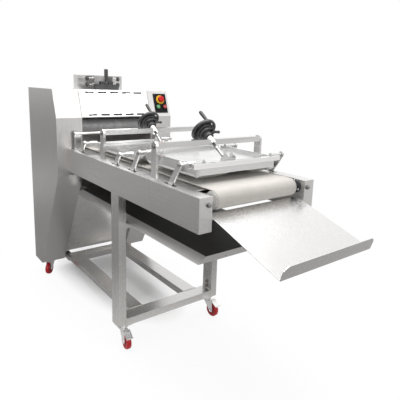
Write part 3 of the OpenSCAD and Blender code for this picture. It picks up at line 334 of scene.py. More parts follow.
@dataclass(frozen=True)
class Steel(Finish):
    """Brushed stainless sheet with streaks, hand smears, dull spots and polished edges."""

    grain: Grain = Grain.ALONG_X
    metallic: float = 0.92  # how much of it is metal
    streak: float = 0.05  # strength of the brushing streaks
    smear: float = 0.035  # strength of the uneven gloss
    marks: float = 0.75  # weight of the broad brush marks
    mark_depth: float = 3.0  # darkness of the broad brush marks, in streaks
    spots: float = 0.10  # weight of the dull spots
    dull: float = 0.82  # brightness of the dull spots
    rubbed: float = 0.55  # weight of the polished edges
    polish: float = 1.22  # brightness of the polished edges

    def brushing(self, surface: Surface, noise: Noise) -> Socket:
        """Gives the streaks of this finish at one fineness."""
        return surface.texture(noise, self.grain.value)

    def paint(self, surface: Surface) -> Socket:
        """Adds streaks, smears, spots and polished edges.

        Args:
            surface: Node builder.

        Returns:
            Height of the fine streaks.
        """
        fine = self.brushing(surface, FINE_BRUSH)
        broad = self.brushing(surface, BROAD_BRUSH)
        tone = surface.mix(surface.remap(fine, MIDDLE), self.shade(1.0 - self.streak),
                           self.shade(1.0 + self.streak))
        layers = (
            (surface.remap(broad, MARKED, 0.0, self.marks), 1.0 - self.mark_depth * self.streak),
            (surface.remap(surface.texture(SPOTS), RARE, 0.0, self.spots), self.dull),
            (surface.times(surface.edges(), self.rubbed), self.polish))
        smeared = surface.remap(surface.texture(SMEARS), SOFT, -self.smear, self.smear)
        combed = surface.remap(broad, SOFT, -self.smear, self.smear)
        surface.set(
            Base_Color=self.layered(surface, tone, layers),
            Roughness=surface.plus(self.gloss(surface, fine), surface.plus(smeared, combed)),
            Metallic=self.metallic)
        return fine


@dataclass(frozen=True)
class Tubing(Steel):
    """Brushed frame tubes, each brushed along its own length."""

    beam_top: float = 0.1545  # height up to which the tubes lie flat
    cross_from: float = 0.0075  # where the front cross tube begins along the machine

    def brushing(self, surface: Surface, noise: Noise) -> Socket:
        """Gives upright streaks on the legs, and lengthwise ones on the flat tubes.

        Args:
            surface: Node builder.
            noise: Fineness of the streaks.

        Returns:
            The streak socket.
        """
        x, _, z = surface.axes(surface.coords)
        upright = surface.math("GREATER_THAN", z, self.beam_top)
        crossing = surface.math("GREATER_THAN", x, self.cross_from)
        along_x, along_y, along_z = (surface.texture(noise, grain.value) for grain in (
            Grain.ALONG_X, Grain.ALONG_Y, Grain.ALONG_Z))
        return surface.blend(upright, surface.blend(crossing, along_x, along_y), along_z)


@dataclass(frozen=True)
class Plastic(Finish):
    """Moulded plastic or enamel with a fine grain, a little dust and worn edges."""

    uneven: tuple = (-0.06, 0.08)
    bump: float = 0.08
    dust: float = 0.03  # how much paler the dusty patches are
    wear: float = 0.06  # how much paler the worn edges are
    shine: float = 0.5  # specular level, 0.5 for common plastic

    def paler(self, by: float) -> tuple:
        """Lightens the main colour."""
        return rgba(tuple(min(1.0, c + by) for c in self.colour))

    def paint(self, surface: Surface) -> Socket:
        """Adds dust, edge wear and uneven gloss.

        Args:
            surface: Node builder.

        Returns:
            Height of the moulded grain.
        """
        patch = surface.texture(DUST)
        dusty = surface.mix(surface.remap(patch, UPPER), rgba(self.colour), self.paler(self.dust))
        worn = surface.times(surface.edges(), patch)
        surface.set(
            Base_Color=surface.mix(worn, dusty, self.paler(self.wear)),
            Roughness=self.gloss(surface, patch),
            Specular_IOR_Level=self.shine)
        return surface.texture(MOULDED)


@dataclass(frozen=True)
class Woven(Finish):
    """Woven belting: crossed threads, flour dust, painted shade in the weave's hollows and along the
    edges, and one skived joint.
    """

    bump: float = 0.25
    depth: float = 0.0005
    threads: float = 420.0  # threads per metre
    turn: float = 6.28  # threads per metre in a wave texture of scale 1
    wobble: float = 0.4  # unevenness of the threads
    tracks: tuple = (0.8, 18.0, 1.0)  # stretch of the tracks along the belt
    half_width: float = 0.22  # half of the belt's width
    shade_band: float = 0.02  # width of the band of painted shade along each edge
    joint_x: float = 0.628  # where the joint lies
    joint_skew: float = 0.12  # slope of the joint across the belt
    joint_fade: tuple = (0.0006, 0.0016)  # distances from the joint between which its line fades
    sheen: float = 0.12  # weight of the soft sheen
    floury: tuple = (0.9, 1.04)  # brightness without and with flour
    # Weight and brightness of the tracks, the painted shade in the hollows of the weave, the painted
    # shade along the edges and the joint
    tracked: tuple = (0.16, 0.78)
    hollow_shade: tuple = (0.14, 0.6)
    edge_shade: tuple = (0.4, 0.66)
    seam: tuple = (0.35, 0.55)

    def paint(self, surface: Surface) -> Socket:
        """Adds the weave, the flour, painted shade in the weave's hollows and along the edges, and
        the joint.

        Args:
            surface: Node builder.

        Returns:
            Height of the threads.
        """
        warp, weft = (surface.add(
            "ShaderNodeTexWave", {"bands_direction": way}, Vector=surface.coords,
            Scale=self.threads / self.turn, Distortion=self.wobble).outputs[1] for way in "XY")
        weave = surface.times(warp, weft)
        track = surface.texture(TRACKS, self.tracks)
        x, y, _ = surface.axes(surface.coords)
        rim = (self.half_width - self.shade_band, self.half_width)
        skewed = surface.plus(x, surface.times(y, self.joint_skew))
        gap = surface.math("ABSOLUTE", surface.math("SUBTRACT", skewed, self.joint_x))
        floured = surface.remap(surface.texture(FLOUR), FLOURED)
        layers = (
            (surface.remap(track, TRACKED, 0.0, self.tracked[0]), self.tracked[1]),
            # painted shade in the hollows of the weave
            (surface.remap(weave, WHOLE, self.hollow_shade[0], 0.0), self.hollow_shade[1]),
            # painted shade along the belt's edges, beside the rails
            (surface.remap(surface.math("ABSOLUTE", y), rim, 0.0, self.edge_shade[0]), self.edge_shade[1]),
            (surface.remap(gap, self.joint_fade, self.seam[0], 0.0), self.seam[1]))
        base = surface.mix(floured, *map(self.shade, self.floury))
        surface.set(Base_Color=self.layered(surface, base, layers), Sheen_Weight=self.sheen)
        return weave


@dataclass(frozen=True)
class CoatedDeck(Finish):
    """Dark non-stick deck with bare steel skirts."""

    uneven: tuple = (-0.06, 0.06)
    bump: float = 0.05
    depth: float = 0.0005
    bare: tuple = (0.60, 0.59, 0.58)  # colour of the uncoated metal
    bare_dull: float = 0.92  # brightness of the dull streaks in the uncoated metal
    bare_rough: float = 0.32  # roughness of the uncoated metal
    bare_metal: float = 0.9  # how much of the uncoated part is metal
    scuffed: float = 1.7  # brightness of the scuffs in the coat
    deck_z: float = 0.6938  # height above which the coat begins
    fade: float = 0.0006  # height over which it begins

    def paint(self, surface: Surface) -> Socket:
        """Splits coat and bare metal by height and scuffs the coat.

        Args:
            surface: Node builder.

        Returns:
            Height of the brushing.
        """
        height = surface.axes(surface.coords)[2]
        coat = surface.remap(height, (self.deck_z, self.deck_z + self.fade))
        fine = surface.texture(DECK_BRUSH, Grain.ALONG_X.value)
        scuff = surface.texture(SCUFFS)
        deck = surface.mix(surface.remap(scuff, UPPER), rgba(self.colour), self.shade(self.scuffed))
        dull = rgba(tuple(c * self.bare_dull for c in self.bare))
        metal = surface.mix(surface.remap(fine, MIDDLE), dull, rgba(self.bare))
        surface.set(
            Base_Color=surface.mix(coat, metal, deck),
            Metallic=surface.remap(coat, WHOLE, self.bare_metal, 0.0),
            Roughness=surface.plus(surface.remap(coat, WHOLE, self.bare_rough, self.roughness),
                                   surface.remap(scuff, MIDDLE, *self.uneven)))
        return fine


@dataclass(frozen=True)
class CasterTread(Finish):
    """Cast red tyre on a darker red hub, split by the distance from the axle."""

    colour: tuple = (0.56, 0.008, 0.016)
    roughness: float = 0.4
    uneven: tuple = (-0.08, 0.1)
    bump: float = 0.12
    depth: float = 0.0006
    centre: tuple = (0.0, 0.0, 0.0)  # middle of the wheel
    axle: tuple = (0.0, 1.0, 0.0)  # direction of the axle
    hub_radius: float = 0.0265
    hub_fade: float = 0.0008  # width of the line between hub and tyre
    hub: tuple = (0.30, 0.012, 0.016)  # colour of the hub
    wear: float = 0.6  # weight of the scuffs
    scuffed: float = 0.6  # brightness of the scuffs

    def paint(self, surface: Surface) -> Socket:
        """Splits tyre and hub, and adds scuffs to the running face.

        Args:
            surface: Node builder.

        Returns:
            Height of the scuffs.
        """
        arm = surface.vector("SUBTRACT", surface.coords, self.centre)
        along = surface.vector("DOT_PRODUCT", arm, self.axle, 1)
        spread = surface.out("ShaderNodeCombineXYZ", X=along, Y=along, Z=along)
        radial = surface.vector("SUBTRACT", arm, surface.vector("MULTIPLY", spread, self.axle))
        hub_edge = (self.hub_radius, self.hub_radius + self.hub_fade)
        tyre = surface.remap(surface.length(radial), hub_edge)
        scuff = surface.texture(TYRE_SCUFFS)
        worn = surface.mix(surface.remap(scuff, UPPER, 0.0, self.wear), rgba(self.colour),
                           self.shade(self.scuffed))
        surface.set(Base_Color=surface.mix(tyre, rgba(self.hub), worn),
                    Roughness=self.gloss(surface, scuff))
        return scuff


SIDE = Steel("steel_side", (0.585, 0.572, 0.564), 0.34, grain=Grain.ALONG_Z)
FRONT = Steel("steel_front", (0.79, 0.785, 0.78), 0.30, grain=Grain.ALONG_Y, streak=0.03)
LONG = Steel("steel_long", (0.60, 0.59, 0.582), 0.33)
CHUTE = Steel("steel_chute", (0.665, 0.66, 0.655), 0.26, streak=0.03)
BRIGHT = Steel("bright_metal", (0.70, 0.70, 0.695), 0.2, grain=Grain.ALONG_Y, streak=0.03)
BAR = Steel("bright_bar", (0.66, 0.66, 0.655), 0.2, grain=Grain.ALONG_Y, streak=0.02)
ARM = Steel("arm_flat", (0.68, 0.675, 0.67), 0.24, grain=Grain.ALONG_Z, streak=0.03)
LOWER = Steel("steel_lower", (0.76, 0.75, 0.74), 0.3, grain=Grain.ALONG_Y)
HOPPER = Steel("steel_hopper", (0.42, 0.415, 0.41), 0.38, grain=Grain.ALONG_Z)
RIM = Steel("polished_rim", (0.88, 0.88, 0.875), 0.16, grain=Grain.ALONG_Y, streak=0.02)
TUBE = Tubing("steel_tube", (0.60, 0.59, 0.58), 0.27, streak=0.06)
TURNED = Steel("turned_steel", (0.34, 0.338, 0.335), 0.33, grain=Grain.NONE)
FORK = Steel("galvanised", (0.78, 0.78, 0.785), 0.28, grain=Grain.NONE, streak=0.08)
ZINC = Steel("zinc", (0.60, 0.60, 0.61), 0.24, grain=Grain.NONE)
BOLT = Steel("dark_bolt", (0.24, 0.235, 0.23), 0.34, grain=Grain.NONE, streak=0.08)
WELD = Steel("weld_bead", (0.58, 0.55, 0.52), 0.36, grain=Grain.NONE, streak=0.1)
BLACK = Plastic("black_plastic", (0.026, 0.026, 0.027), 0.4, dust=0.014, wear=0.05)
ENAMEL = Plastic("black_enamel", (0.02, 0.02, 0.022), 0.36, dust=0.01)
# Black of the slot pads: painted shade that darkens the slots
SHADE_PAD_BLACK = Plastic("painted_slot_shade", (0.008, 0.008, 0.008), 0.7, dust=0.004, wear=0.01)
PLATE = Plastic("plate_film", (0.009, 0.009, 0.0095), 0.62, dust=0.004, wear=0.02, shine=0.12)
# Grey, paler than the glossy black of the rolls: painted light that stands for their highlights in
# the shaded mouth
ROLL = Plastic("roll_lightened", (0.22, 0.22, 0.221), 0.24, dust=0.05)
WHITE = Plastic("white_plastic", (0.78, 0.77, 0.74), 0.42)
YELLOW = Plastic("yellow_plastic", (0.72, 0.40, 0.02), 0.5, dust=0.02, shine=0.25)
RED = Plastic("red_plastic", (0.52, 0.008, 0.012), 0.38, dust=0.01, shine=0.25)
PALE_GREEN = Plastic("green_button", (0.12, 0.34, 0.15), 0.5, dust=0.02, shine=0.2)
PALE_RED = Plastic("red_button", (0.46, 0.08, 0.08), 0.5, dust=0.02, shine=0.2)
BELTING = Woven("belting", (0.57, 0.545, 0.508), 0.85)
DECK = CoatedDeck("coated_deck", (0.017, 0.0165, 0.016), 0.5)


@dataclass(frozen=True)
class Edge:
    """Softened edge of a group of nodes."""

    width: float
    segments: int = 2
    limit: float = 32.0  # smallest edge angle that is bevelled, degrees

    def bevel(self, obj: bpy.types.Object) -> None:
        """Rounds an object's edges with a modifier.

        Args:
            obj: Mesh object.
        """
        bevel = obj.modifiers.new("bevel", "BEVEL")
        bevel.width = self.width
        bevel.segments = self.segments
        bevel.limit_method = "ANGLE"
        bevel.angle_limit = math.radians(self.limit)


SHEET_EDGE = Edge(0.0013)
THICK_EDGE = Edge(0.0022, 3)
FINE_EDGE = Edge(0.0005)
WELD_DISTANCE = 2e-6
FLAT_ANGLE = math.radians(0.6)


def dress(names: Sequence[str], finish: Finish, edge: Edge = SHEET_EDGE) -> None:
    """Gives CAD nodes their finish, merges their flat triangles and softens their edges.

    Args:
        names: CAD node names.
        finish: The finish.
        edge: The edge.
    """
    for name in names:
        obj = NODES[name]
        obj.data.materials.clear()
        obj.data.materials.append(finish.material())
        obj.modifiers.new("weld", "WELD").merge_threshold = WELD_DISTANCE
        flat = obj.modifiers.new("flat", "DECIMATE")
        flat.decimate_type = "DISSOLVE"
        flat.angle_limit = FLAT_ANGLE
        edge.bevel(obj)
        obj.modifiers.new("normals", "WEIGHTED_NORMAL").keep_sharp = True
        LOG.info("dressed %s in %s", name, finish.name)


def make_mesh(name: str, verts: Sequence, edges: Sequence = (),
              faces: Sequence = ()) -> bpy.types.Mesh:
    """Makes a mesh from points, edges and faces.

    Args:
        name: Mesh name.
        verts: Points.
        edges: Pairs of point numbers.
        faces: Rings of point numbers.

    Returns:
        The mesh.
    """
    mesh = bpy.data.meshes.new(name)
    mesh.from_pydata(verts, edges, faces)
    return mesh


def make_object(name: str, data: bpy.types.ID) -> bpy.types.Object:
    """Makes an object at the origin and links it to the scene.

    Args:
        name: Object name.
        data: Its mesh, light or camera.

    Returns:
        The object.
    """
    obj = bpy.data.objects.new(name, data)
    bpy.context.scene.collection.objects.link(obj)
    return obj


def carry(obj: bpy.types.Object, body: str) -> None:
    """Puts a finished piece on the CAD body that carries it."""
    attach(obj, body)
    LOG.info("placed %s on %s", obj.name, body)


HEXAGON = 6


class HeadKind(Enum):
    """Form of a fastener's head."""

    HEX = "hexagon"
    DOME = "dome"


class Tree(Graph):
    """Builder for one Geometry Nodes tree with named inputs."""

    def __init__(self, name: str) -> None:
        """Starts an empty tree with a geometry input and output.

        Args:
            name: Tree name.
        """
        super().__init__(bpy.data.node_groups.new(name, "GeometryNodeTree"))
        for way in ("INPUT", "OUTPUT"):
            self.tree.interface.new_socket("Geometry", in_out=way, socket_type="NodeSocketGeometry")
        self.start = self.add("NodeGroupInput")
        self.end = self.add("NodeGroupOutput")

    def socket(self, name: str, kind: str = "Float") -> Socket:
        """Adds a named input and gives its socket within the tree."""
        self.tree.interface.new_socket(name, in_out="INPUT", socket_type="NodeSocket" + kind)
        return self.start.outputs[name]

    def ball(self, steps: Sequence[int], radius: object) -> Socket:
        """Gives a ball with a number of segments and rings."""
        return self.out("GeometryNodeMeshUVSphere", Segments=steps[0], Rings=steps[1],
                        Radius=radius)

    def moved(self, geometry: Socket, **shift: object) -> Socket:
        """Shifts geometry along the named axes."""
        by = self.out("ShaderNodeCombineXYZ", **shift)
        return self.out("GeometryNodeTransform", Geometry=geometry, Translation=by)

    def join(self, *parts: Socket) -> Socket:
        """Joins geometry.

        Args:
            *parts: What is joined.

        Returns:
            The joined geometry.
        """
        join = self.add("GeometryNodeJoinGeometry")
        for part in parts:
            self.wire(join, i0=part)
        return join.outputs[0]

    def repeat(self, points: Socket, instance: Socket, **sockets: object) -> None:
        """Puts an instance on every point, realizes them, sets their material and ends the tree.

        Args:
            points: The points.
            instance: What is repeated.
            **sockets: Rotation or Scale of the instances.
        """
        spread = self.out("GeometryNodeInstanceOnPoints", Points=points, Instance=instance,
                          **sockets)
        real = self.out("GeometryNodeRealizeInstances", i0=spread)
        dressed = self.out("GeometryNodeSetMaterial", Geometry=real,
                           Material=self.socket("Material", "Material"))
        self.wire(self.end, i0=dressed)

    def run(self, name: str, mesh: bpy.types.Mesh, finish: Finish,
            **values: object) -> bpy.types.Object:
        """Runs the tree on a mesh and keeps the result as a plain mesh.

        Args:
            name: Name of the piece.
            mesh: Input mesh.
            finish: Finish of the piece.
            **values: Input name to value.

        Returns:
            The finished object, at the origin.
        """
        obj = make_object(name, mesh)
        modifier = obj.modifiers.new("repeat", "NODES")
        modifier.node_group = self.tree
        values["Material"] = finish.material()
        for item in self.tree.interface.items_tree:
            if item.in_out == "INPUT" and item.name in values:
                modifier[item.identifier] = values[item.name]
        depsgraph = bpy.context.evaluated_depsgraph_get()
        result = bpy.data.meshes.new_from_object(obj.evaluated_get(depsgraph))
        obj.modifiers.clear()
        obj.data = result
        result.name = name
        return obj


@dataclass(frozen=True)
class Fastener:
    """Screw head on a washer, repeated by a Geometry Nodes tree."""

    kind: HeadKind  # form of the head
    radius: float  # head radius
    height: float  # head height
    washer: float  # washer radius
    finish: Finish
    washer_t: float = 0.22  # thickness of the washer, as a share of the height
    prism: float = 0.8  # height of a hexagon head below its chamfer, as a share of the height
    chamfer: float = 0.8  # radius of a hexagon head at its top, as a share of the radius
    sides: int = 24  # sides of the washer
    dome: tuple = (20, 10)  # segments and rings of a domed head

    def _tree(self) -> Tree:
        """Builds the tree for this form of head.

        Returns:
            The tree.
        """
        tree = Tree("fastener_" + self.kind.value)
        radius, height, washer = (tree.socket(name) for name in ("Radius", "Height", "Washer"))
        ring = tree.out("GeometryNodeMeshCylinder", Vertices=self.sides, Radius=washer,
                        Depth=tree.times(height, self.washer_t))
        if self.kind is HeadKind.HEX:
            low = tree.times(height, self.prism)
            body = tree.out("GeometryNodeMeshCylinder", Vertices=HEXAGON, Radius=radius, Depth=low)
            cap = tree.out("GeometryNodeMeshCone", Vertices=HEXAGON, Radius_Bottom=radius,
                           Radius_Top=tree.times(radius, self.chamfer),
                           Depth=tree.times(height, 1.0 - self.prism))
            heads = (tree.moved(body, Z=tree.times(height, self.prism / 2)),
                     tree.moved(cap, Z=low))
        else:
            ball = tree.ball(self.dome, 1.0)
            size = tree.out("ShaderNodeCombineXYZ", X=radius, Y=radius, Z=height)
            heads = (tree.out("GeometryNodeTransform", Geometry=ball, Scale=size),)
        axis = tree.out("GeometryNodeInputNamedAttribute", {"data_type": "FLOAT_VECTOR"},
                        Name="axis")
        turn = tree.out("FunctionNodeAlignRotationToVector", {"axis": "Z"}, Vector=axis)
        tree.repeat(tree.start.outputs[0], tree.join(ring, *heads), Rotation=turn)
        return tree

    def place(self, name: str, body: str, spots: Sequence[tuple]) -> None:
        """Puts fasteners on a body.

        Args:
            name: Name of the piece.
            body: CAD body that carries them.
            spots: Pairs of a point and the direction the head faces.
        """
        mesh = make_mesh(name + "_points", [tuple(point) for point, _ in spots])
        axes = mesh.attributes.new("axis", "FLOAT_VECTOR", "POINT")
        axes.data.foreach_set("vector", [c for _, axis in spots for c in axis])
        carry(self._tree().run(name, mesh, self.finish, Radius=self.radius, Height=self.height,
                               Washer=self.washer), body)


@dataclass(frozen=True)
class WeldBead:
    """Row of overlapping weld ripples along straight joints, by Geometry Nodes."""

    radius: float = 0.0032  # ripple radius
    pitch: float = 0.0036  # distance between ripples
    seed: int = 7  # seed of the uneven ripple sizes
    smallest: float = 0.82  # scale of the smallest ripple
    largest: float = 1.15  # scale of the largest ripple
    ball: tuple = (8, 5)  # segments and rings of a ripple

    def place(self, name: str, body: str, runs: Sequence[tuple]) -> None:
        """Lays beads on a body.

        Args:
            name: Name of the piece.
            body: CAD body that carries them.
            runs: Pairs of start and end points.
        """
        tree = Tree("weld_ripples")
        radius, pitch = (tree.socket(key) for key in ("Radius", "Pitch"))
        seed = tree.socket("Seed", "Int")
        curve = tree.out("GeometryNodeMeshToCurve", i0=tree.start.outputs[0])
        points = tree.out("GeometryNodeCurveToPoints", {"mode": "LENGTH"}, Curve=curve,
                          Length=pitch)
        ball = tree.ball(self.ball, radius)
        size = tree.add("FunctionNodeRandomValue", {"data_type": "FLOAT"}, i2=self.smallest,
                        i3=self.largest, Seed=seed)
        tree.repeat(points, ball, Scale=size.outputs[1])
        mesh = make_mesh(name + "_runs", [point for run in runs for point in run],
                         [(2 * i, 2 * i + 1) for i in range(len(runs))])
        obj = tree.run(name, mesh, WELD, Radius=self.radius, Pitch=self.pitch, Seed=self.seed)
        obj.data.shade_smooth()
        carry(obj, body)


@dataclass(frozen=True)
class SlotShadePad:
    """Black pads with round ends, one in every slot of a row, by Geometry Nodes: painted shade that
    makes the slots look dark.
    """

    length: float = 0.0604
    width: float = 0.0111
    thick: float = 0.0024
    sunk: float = 0.0006  # how far its face lies under the cover's face
    sides: int = 20  # sides of each round end

    def place(self, name: str, body: str, spots: Sequence[Vector], normal: Vector) -> None:
        """Sets one row of black pads of painted shade.

        Args:
            name: Name of the piece.
            body: CAD body that carries it.
            spots: Middles of the slots on the cover's face.
            normal: Direction out of the face.
        """
        tree = Tree("slot_shade_pads")
        width, straight, thick = (tree.socket(key) for key in ("Width", "Straight", "Thick"))
        turn = tree.socket("Turn", "Rotation")
        end = tree.out("GeometryNodeMeshCircle", {"fill_type": "NONE"}, Vertices=self.sides,
                       Radius=tree.times(width, 0.5))
        reach = tree.times(straight, 0.5)
        lower = tree.join(tree.moved(end, Y=tree.times(reach, -1.0)), tree.moved(end, Y=reach))
        pad = tree.out("GeometryNodeConvexHull",
                       Geometry=tree.join(lower, tree.moved(lower, Z=thick)))
        tree.repeat(tree.start.outputs[0], pad, Rotation=turn)
        inward = normal * (self.sunk + self.thick)
        mesh = make_mesh(name + "_points", [tuple(spot - inward) for spot in spots])
        lean = Vector((0.0, 0.0, 1.0)).rotation_difference(normal).to_euler()
        carry(tree.run(name, mesh, SHADE_PAD_BLACK, Width=self.width, Straight=self.length - self.width,
                       Thick=self.thick, Turn=lean), body)


# Black pads in the cover's slots: painted shade
SLOT_SHADE_PAD = SlotShadePad()
SMALL_SCREW = Fastener(HeadKind.DOME, 0.004, 0.0022, 0.0046, ZINC)
DARK_SCREW = Fastener(HeadKind.DOME, 0.0028, 0.0014, 0.0031, ENAMEL)
PIN_CAP = Fastener(HeadKind.DOME, 0.009, 0.0045, 0.0105, TURNED)
POST_BOLT = Fastener(HeadKind.HEX, 0.0085, 0.0056, 0.0115, BOLT)
AXLE_NUT = Fastener(HeadKind.HEX, 0.0085, 0.0058, 0.0095, ZINC)
SAME_POINT = 1e-7


def solid(name: str, body: str, finish: Finish, verts: Sequence[tuple],
          faces: Sequence[tuple]) -> None:
    """Makes one closed mesh piece with fine edges on a body.

    Args:
        name: Name of the piece.
        body: CAD body that carries it.
        finish: The finish.
        verts: Points.
        faces: Faces.
    """
    mesh = make_mesh(name, verts, faces=faces)
    work = bmesh.new()
    work.from_mesh(mesh)
    bmesh.ops.remove_doubles(work, verts=work.verts, dist=SAME_POINT)
    bmesh.ops.recalc_face_normals(work, faces=work.faces)
    work.to_mesh(mesh)
    work.free()
    mesh.materials.append(finish.material())
    obj = make_object(name, mesh)
    FINE_EDGE.bevel(obj)
    carry(obj, body)


def turned(profile: Sequence[tuple], centre: Sequence[float], axis: Sequence[float],
           sides: int = 48) -> tuple:
    """Turns a closed profile about an axis.

    Args:
        profile: Pairs of radius and distance along the axis.
        centre: Point on the axis.
        axis: Direction of the axis.
        sides: Number of steps round the axis.

    Returns:
        Points and faces.
    """
    turn = Vector(axis).to_track_quat("Z", "Y").to_matrix()
    n = len(profile)
    verts, faces = [], []
    for i in range(sides):
        a = 2.0 * math.pi * i / sides
        verts += [tuple(Vector(centre) + turn @ Vector((r * math.cos(a), r * math.sin(a), h)))
                  for r, h in profile]
        j = (i + 1) % sides
        for k in range(n):
            m = (k + 1) % n
            faces.append((i * n + k, j * n + k, j * n + m, i * n + m))
    return verts, faces


def both(points: Sequence[tuple]) -> list:
    """Adds the mirror images of points and directions across the middle of the machine."""
    return list(points) + [((x, -y, z), (a, -b, c)) for (x, y, z), (a, b, c) in points]


@dataclass
class Head:
    """Body columns, panels, cover, hopper and rolls."""

    foot_z: float = 1.134  # foot of the sloped face
    top_z: float = 1.298  # top of the body
    slope_back: float = 0.059  # how far the sloped face leans back
    front_x: float = -0.553174  # front of the body
    slot_up: float = 0.016  # distance of a row of slots from the end of the slope
    slot_pitch: float = 0.082  # distance from one slot to the next
    # Places of the slots in a row, in pitches from its middle
    slot_steps: tuple = (-2, -1, 0, 1, 2)
    rear_y: float = 0.218  # place of the rear panel's screws across the machine
    rear_z: tuple = (0.16, 0.43, 0.7, 0.97, 1.24)  # heights of the rear panel's screws
    hopper_y: tuple = (0.05, 0.15)  # places of the hopper's screws across the machine
    hopper_in: float = 0.012  # distance of the hopper's screws from its back
    hopper_t: float = 0.003  # thickness of the hopper's foot

    def build(self) -> None:
        """Dresses the head and adds its black slot pads of painted shade and its screws."""
        dress(["near_column", "far_column", "rear_panel"], SIDE)
        dress(["lower_panel"], LOWER)
        dress(["top_panel", "head_cover"], FRONT)
        dress(["hopper_frame", "guide_near", "guide_far"], HOPPER)
        dress(["knobs_near", "knobs_far", "gap_block", "gap_lever"], BLACK, FINE_EDGE)
        dress(["roll_front", "roll_rear", "roll_press"], ROLL, FINE_EDGE)
        dress(["gearmotor"], ENAMEL, FINE_EDGE)
        self._add_shade_pads()
        self._screws()

    def on_slope(self, y: float, up: float, out: float) -> Vector:
        """Finds a point on the sloped face.

        Args:
            y: Across the machine.
            up: Along the slope from its foot.
            out: Out of the face.

        Returns:
            The point.
        """
        angle = math.atan2(self.slope_back, self.top_z - self.foot_z)
        along = Vector((-math.sin(angle), 0.0, math.cos(angle)))
        normal = Vector((math.cos(angle), 0.0, math.sin(angle)))
        return Vector((self.front_x, y, self.foot_z)) + along * up + normal * out

    def slope(self) -> float:
        """Gives the length of the sloped face."""
        return math.hypot(self.slope_back, self.top_z - self.foot_z)

    def normal(self) -> Vector:
        """Gives the direction out of the sloped face."""
        return self.on_slope(0.0, 0.0, 1.0) - self.on_slope(0.0, 0.0, 0.0)

    def _add_shade_pads(self) -> None:
        """Adds black pads of painted shade in the two rows of slots, so that the slots look dark."""
        rows = {"low_slot_shade_pad": self.slot_up, "high_slot_shade_pad": self.slope() - self.slot_up}
        for name, up in rows.items():
            spots = [self.on_slope(i * self.slot_pitch, up, 0.0) for i in self.slot_steps]
            SLOT_SHADE_PAD.place(name, "head_cover", spots, self.normal())

    def _screws(self) -> None:
        """Adds the screws of the rear panel and the hopper."""
        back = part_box("rear_panel")[0][0]
        rear = [((back, self.rear_y, z), (-1.0, 0.0, 0.0)) for z in self.rear_z]
        SMALL_SCREW.place("rear_panel_screws", "frame", both(rear))
        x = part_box("hopper_frame")[0][0] + self.hopper_in
        foot = [((x, y, self.top_z + self.hopper_t), (0.0, 0.0, 1.0)) for y in self.hopper_y]
        SMALL_SCREW.place("hopper_screws", "frame", both(foot))


@dataclass
class Controls:
    """Control plate with its stop head and buttons."""

    head: Head  # the head that carries the plate
    plate_w: float = 0.094  # width of the plate
    plate_l: float = 0.131  # length of the plate
    plate_t: float = 0.005  # thickness of the plate
    plate_up: float = 0.001  # distance of the plate's middle from the middle of the slope
    y: float = 0.324  # middle of the plate across the machine
    inset: float = 0.006  # distance of its screws from its edges

    def build(self) -> None:
        """Dresses the controls and adds the plate's screws."""
        for name, finish in (("control_plate", PLATE), ("estop_ring", YELLOW), ("estop_head", RED),
                             ("start_button", PALE_GREEN), ("stop_button", PALE_RED)):
            dress([name], finish, FINE_EDGE)
        up = self.head.slope() / 2 + self.plate_up
        across, along = self.plate_w / 2 - self.inset, self.plate_l / 2 - self.inset
        spots = [(self.head.on_slope(self.y + i * across, up + j * along, self.plate_t),
                  self.head.normal()) for i in SIDES for j in SIDES]
        DARK_SCREW.place("control_plate_screws", "frame", spots)


@dataclass
class Table:
    """Rails, bed, belt, rollers, tray and chute."""

    rail_in: float = 0.2575  # inner face of the rails across the machine
    # Profile of a flange bearing, in pairs of radius and height
    flange: tuple = ((0.0104, 0.0), (0.031, 0.0), (0.031, 0.006), (0.028, 0.009), (0.021, 0.011),
                     (0.019, 0.02), (0.0104, 0.02))
    flange_t: float = 0.009  # height of the flange under its screws
    screw_r: float = 0.0255  # distance of its screws from its middle
    screw_turns: tuple = (90, 210, 330)  # places of its screws, degrees

    def build(self) -> None:
        """Dresses the table and adds the end roller's bearings."""
        dress(["near_rail", "far_rail"], LONG)
        for name, finish in (("bed_plate", LONG), ("belt", BELTING), ("end_roller", WHITE),
                             ("drive_roller", ROLL), ("tray", DECK), ("chute", CHUTE),
                             ("mat_bar", BAR), ("frame_bolts", BOLT)):
            dress([name], finish, FINE_EDGE)
        self._bearings()

    def _bearings(self) -> None:
        """Adds a dark flange bearing with three screws at each end of the outlet roller."""
        x, _, z = JOINTS["end_roller_spin"]["pos_m"]
        spots = []
        for name, side in zip(("near_bearing", "far_bearing"), SIDES):
            inward = (0.0, -side, 0.0)
            solid(name, "frame", ENAMEL, *turned(self.flange, (x, side * self.rail_in, z), inward))
            for a in map(math.radians, self.screw_turns):
                spot = (x + self.screw_r * math.cos(a), side * (self.rail_in - self.flange_t),
                        z + self.screw_r * math.sin(a))
                spots.append((spot, inward))
        SMALL_SCREW.place("bearing_screws", "frame", spots)


